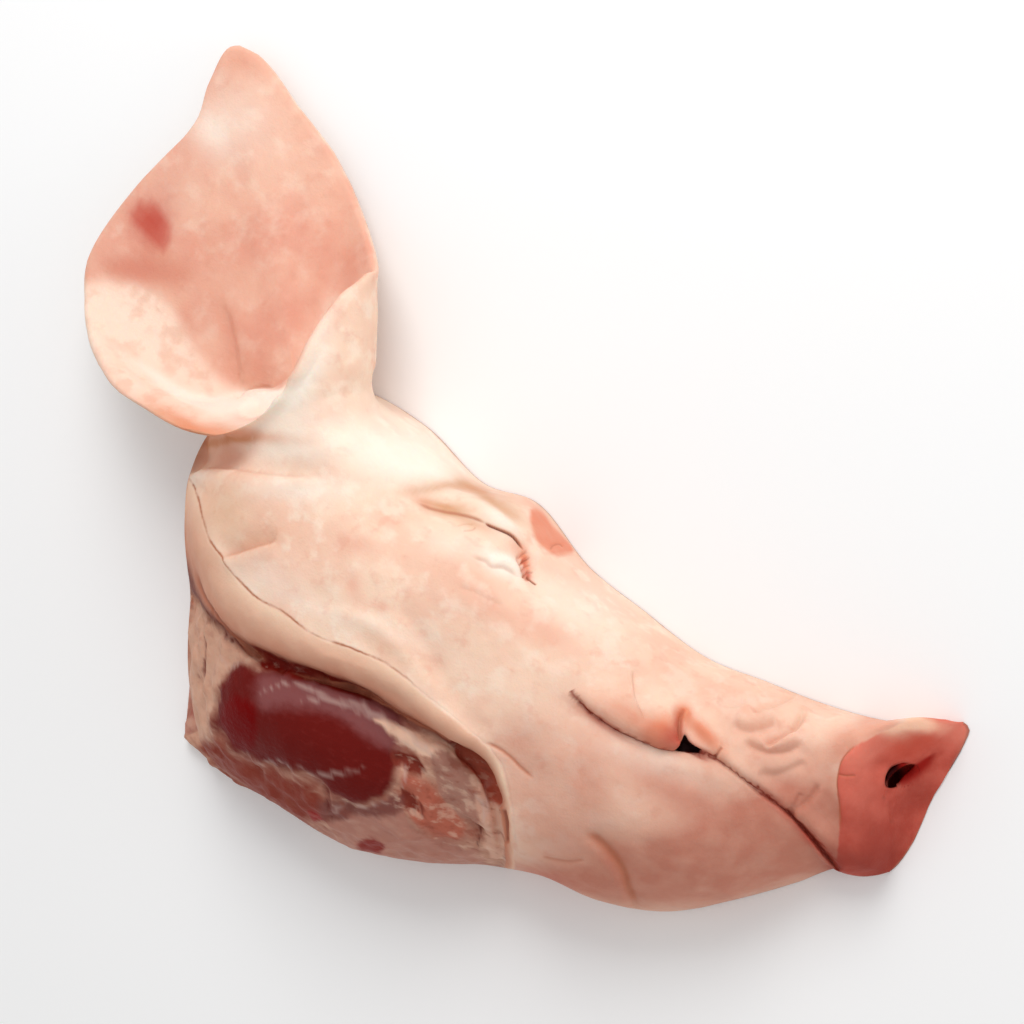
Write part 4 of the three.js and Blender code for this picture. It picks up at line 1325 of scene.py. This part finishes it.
def flesh_material():
    """Skin, ear, disc, cut tissues and sawn face: their colours are mixed by the stored fields, whose
    borders are roughened by noise, and the lines and creases are laid over them."""
    skin = bpy.data.materials.new("frozen_pig_skin")
    skin.use_nodes = True
    Signal.tree = skin.node_tree
    shader = skin.node_tree.nodes["Principled BSDF"]
    where = Signal.node("ShaderNodeTexCoord", {}, {}, "Object")
    along = Signal.node("ShaderNodeVectorMath", {"operation": "MULTIPLY"}, {0: where, 1: SQUEEZE})
    broad = grain(where, BROAD, 3.0)
    patchy = grain(where, PATCHY, 4.0)
    veined = grain(where, VEINED, 6.0)
    rough = grain(where, ROUGH, 3.0)
    fine = grain(where, FINE, 2.0)
    strand = grain(along, STRAND, 4.0)
    mottle = grain(along, MOTTLE, 5.0)
    dark = stored("dark")
    on_cut = stored("cut")
    past_skin = stored("past_skin") + (patchy - 0.5) * 1.8 + (rough - 0.5) * 0.8
    line = bump_of(past_skin, LINE_HALF) * on_cut
    in_meat = step(stored("past_fat") + (patchy - 0.5) * 1.5, 0.4, 1.4) * on_cut

    base = skin_tone(broad, patchy, veined)
    base = mixed(base, disc_tone(patchy), step(stored("disc") + (rough - 0.5) * 0.5, 0.2, 0.8))
    shade = stored("band_shade") * (0.7 + 0.4 * patchy)
    fat = mixed(colour(247, 212, 184), colour(198, 120, 92), shade)
    base = mixed(base, fat, step(past_skin, 0.0, 1.5) * on_cut)
    base = mixed(base, colour(184, 116, 86), line * stored("skin_line") * step(patchy, 0.3, 0.6))
    base = mixed(base, cut_tone(broad, patchy, strand, mottle), in_meat)
    # Dark red line at the wall's foot: the tissue's own red and painted shade under the fat's wall
    base = mixed(base, colour(100, 26, 18), stored("foot") * (0.5 + 0.7 * mottle))
    sawn = mixed(colour(206, 156, 136), colour(170, 104, 90), step(patchy, 0.35, 0.65))
    base = mixed(base, sawn, stored("sawn"))
    # The mouth's line: the lips' crusted red-brown, and painted shade in the slit
    base = mixed(base, colour(138, 44, 30), stored("mouth") * (0.35 + 0.9 * rough))
    # Painted shade in the creases' floors: warm brown where faint, dark red-brown where deep
    base = mixed(base, colour(186, 112, 84), step(dark, 0.0, 0.45) * 0.75)
    base = mixed(base, colour(96, 38, 30), step(dark, 0.3, 1.0) * 0.9)
    # Near-black painted shade inside the throat's hole
    base = mixed(base, colour(24, 5, 5), step(stored("throat_hole"), 0.3, 0.7))

    gloss = 0.52 + 0.16 * (rough - 0.5) - 0.12 * (in_meat * (0.6 + 0.4 * stored("muscle")))
    height = fine * 0.4 + rough * 0.6 + veined * 1.2
    height = height + in_meat * strand * 0.8 - line * 0.5 - dark * 0.8
    bump = Signal.node("ShaderNodeBump", {}, {"Strength": 0.5, "Distance": 0.0006, "Height": height})
    for signal, name in ((base, "Base Color"), (gloss, "Roughness"), (bump, "Normal")):
        skin.node_tree.links.new(signal.socket, shader.inputs[name])
    shader.inputs["Subsurface Weight"].default_value = 0.2
    shader.inputs["Subsurface Radius"].default_value = (1.0, 0.4, 0.25)
    shader.inputs["Subsurface Scale"].default_value = 0.004
    shader.inputs["Specular IOR Level"].default_value = 0.04
    return skin


mesh.materials.clear()
mesh.materials.append(flesh_material())
mesh.polygons.foreach_set("material_index", np.zeros(len(mesh.polygons), np.int32))


# Half size of the floor and how far it lies below the sawn face, in metres, and the surround's light
FLOOR_HALF = 3.0
FLOOR_DROP = 0.0004
SURROUND = 0.62
# Lamps: name, direction, distance and size in metres, power in watts
LAMPS = [("window", (-0.2, 0.8, 0.75), 1.4, 0.8, 10), ("fill", (0.95, -0.1, 0.6), 1.5, 1.0, 4)]


def studio():
    """A pale floor and a white surround."""
    floor_mesh = bpy.data.meshes.new("floor")
    ends = (-FLOOR_HALF, FLOOR_HALF)
    corners = [(x, y, -FLOOR_DROP) for y in ends for x in ends]
    floor_mesh.from_pydata(corners, [], [(0, 1, 3, 2)])
    floor = bpy.data.objects.new("floor", floor_mesh)
    bpy.context.scene.collection.objects.link(floor)
    paper = bpy.data.materials.new("paper")
    paper.use_nodes = True
    paper_shader = paper.node_tree.nodes["Principled BSDF"]
    paper_shader.inputs["Base Color"].default_value = (0.96, 0.96, 0.96, 1)
    paper_shader.inputs["Roughness"].default_value = 0.9
    floor_mesh.materials.append(paper)
    world = bpy.data.worlds.new("surround")
    bpy.context.scene.world = world
    world.use_nodes = True
    world.node_tree.nodes["Background"].inputs["Color"].default_value = (1, 1, 1, 1)
    world.node_tree.nodes["Background"].inputs["Strength"].default_value = SURROUND


def area_light(name, direction, distance, size, power):
    """A square lamp in a direction given as shares of the frame's right, up and backward."""
    lamp = bpy.data.lights.new(name, "AREA")
    lamp.size = size
    lamp.energy = power
    made = bpy.data.objects.new(name, lamp)
    bpy.context.scene.collection.objects.link(made)
    way = RIGHT * direction[0] + UP * direction[1] + BACKWARD * direction[2]
    way = Vector(way / np.linalg.norm(way))
    made.location = way * distance
    made.rotation_mode = "QUATERNION"
    made.rotation_quaternion = way.to_track_quat("Z", "Y")


def camera():
    """The photograph's camera: its axes are the frame's right, up and backward directions."""
    lens = bpy.data.cameras.new("camera")
    lens.sensor_width = SENSOR
    lens.lens = FOCAL_PIXELS * SENSOR / FRAME_PIXELS
    lens.clip_start, lens.clip_end = 0.05, 20
    made = bpy.data.objects.new("camera", lens)
    bpy.context.scene.collection.objects.link(made)
    turn = Matrix(np.stack([RIGHT, UP, BACKWARD], axis=1).tolist()).to_4x4()
    made.matrix_world = Matrix.Translation(Vector((EYE - ORIGIN) * MM)) @ turn
    bpy.context.scene.camera = made


studio()
for lamp in LAMPS:
    area_light(*lamp)
camera()
bpy.context.scene.view_settings.view_transform = "Standard"
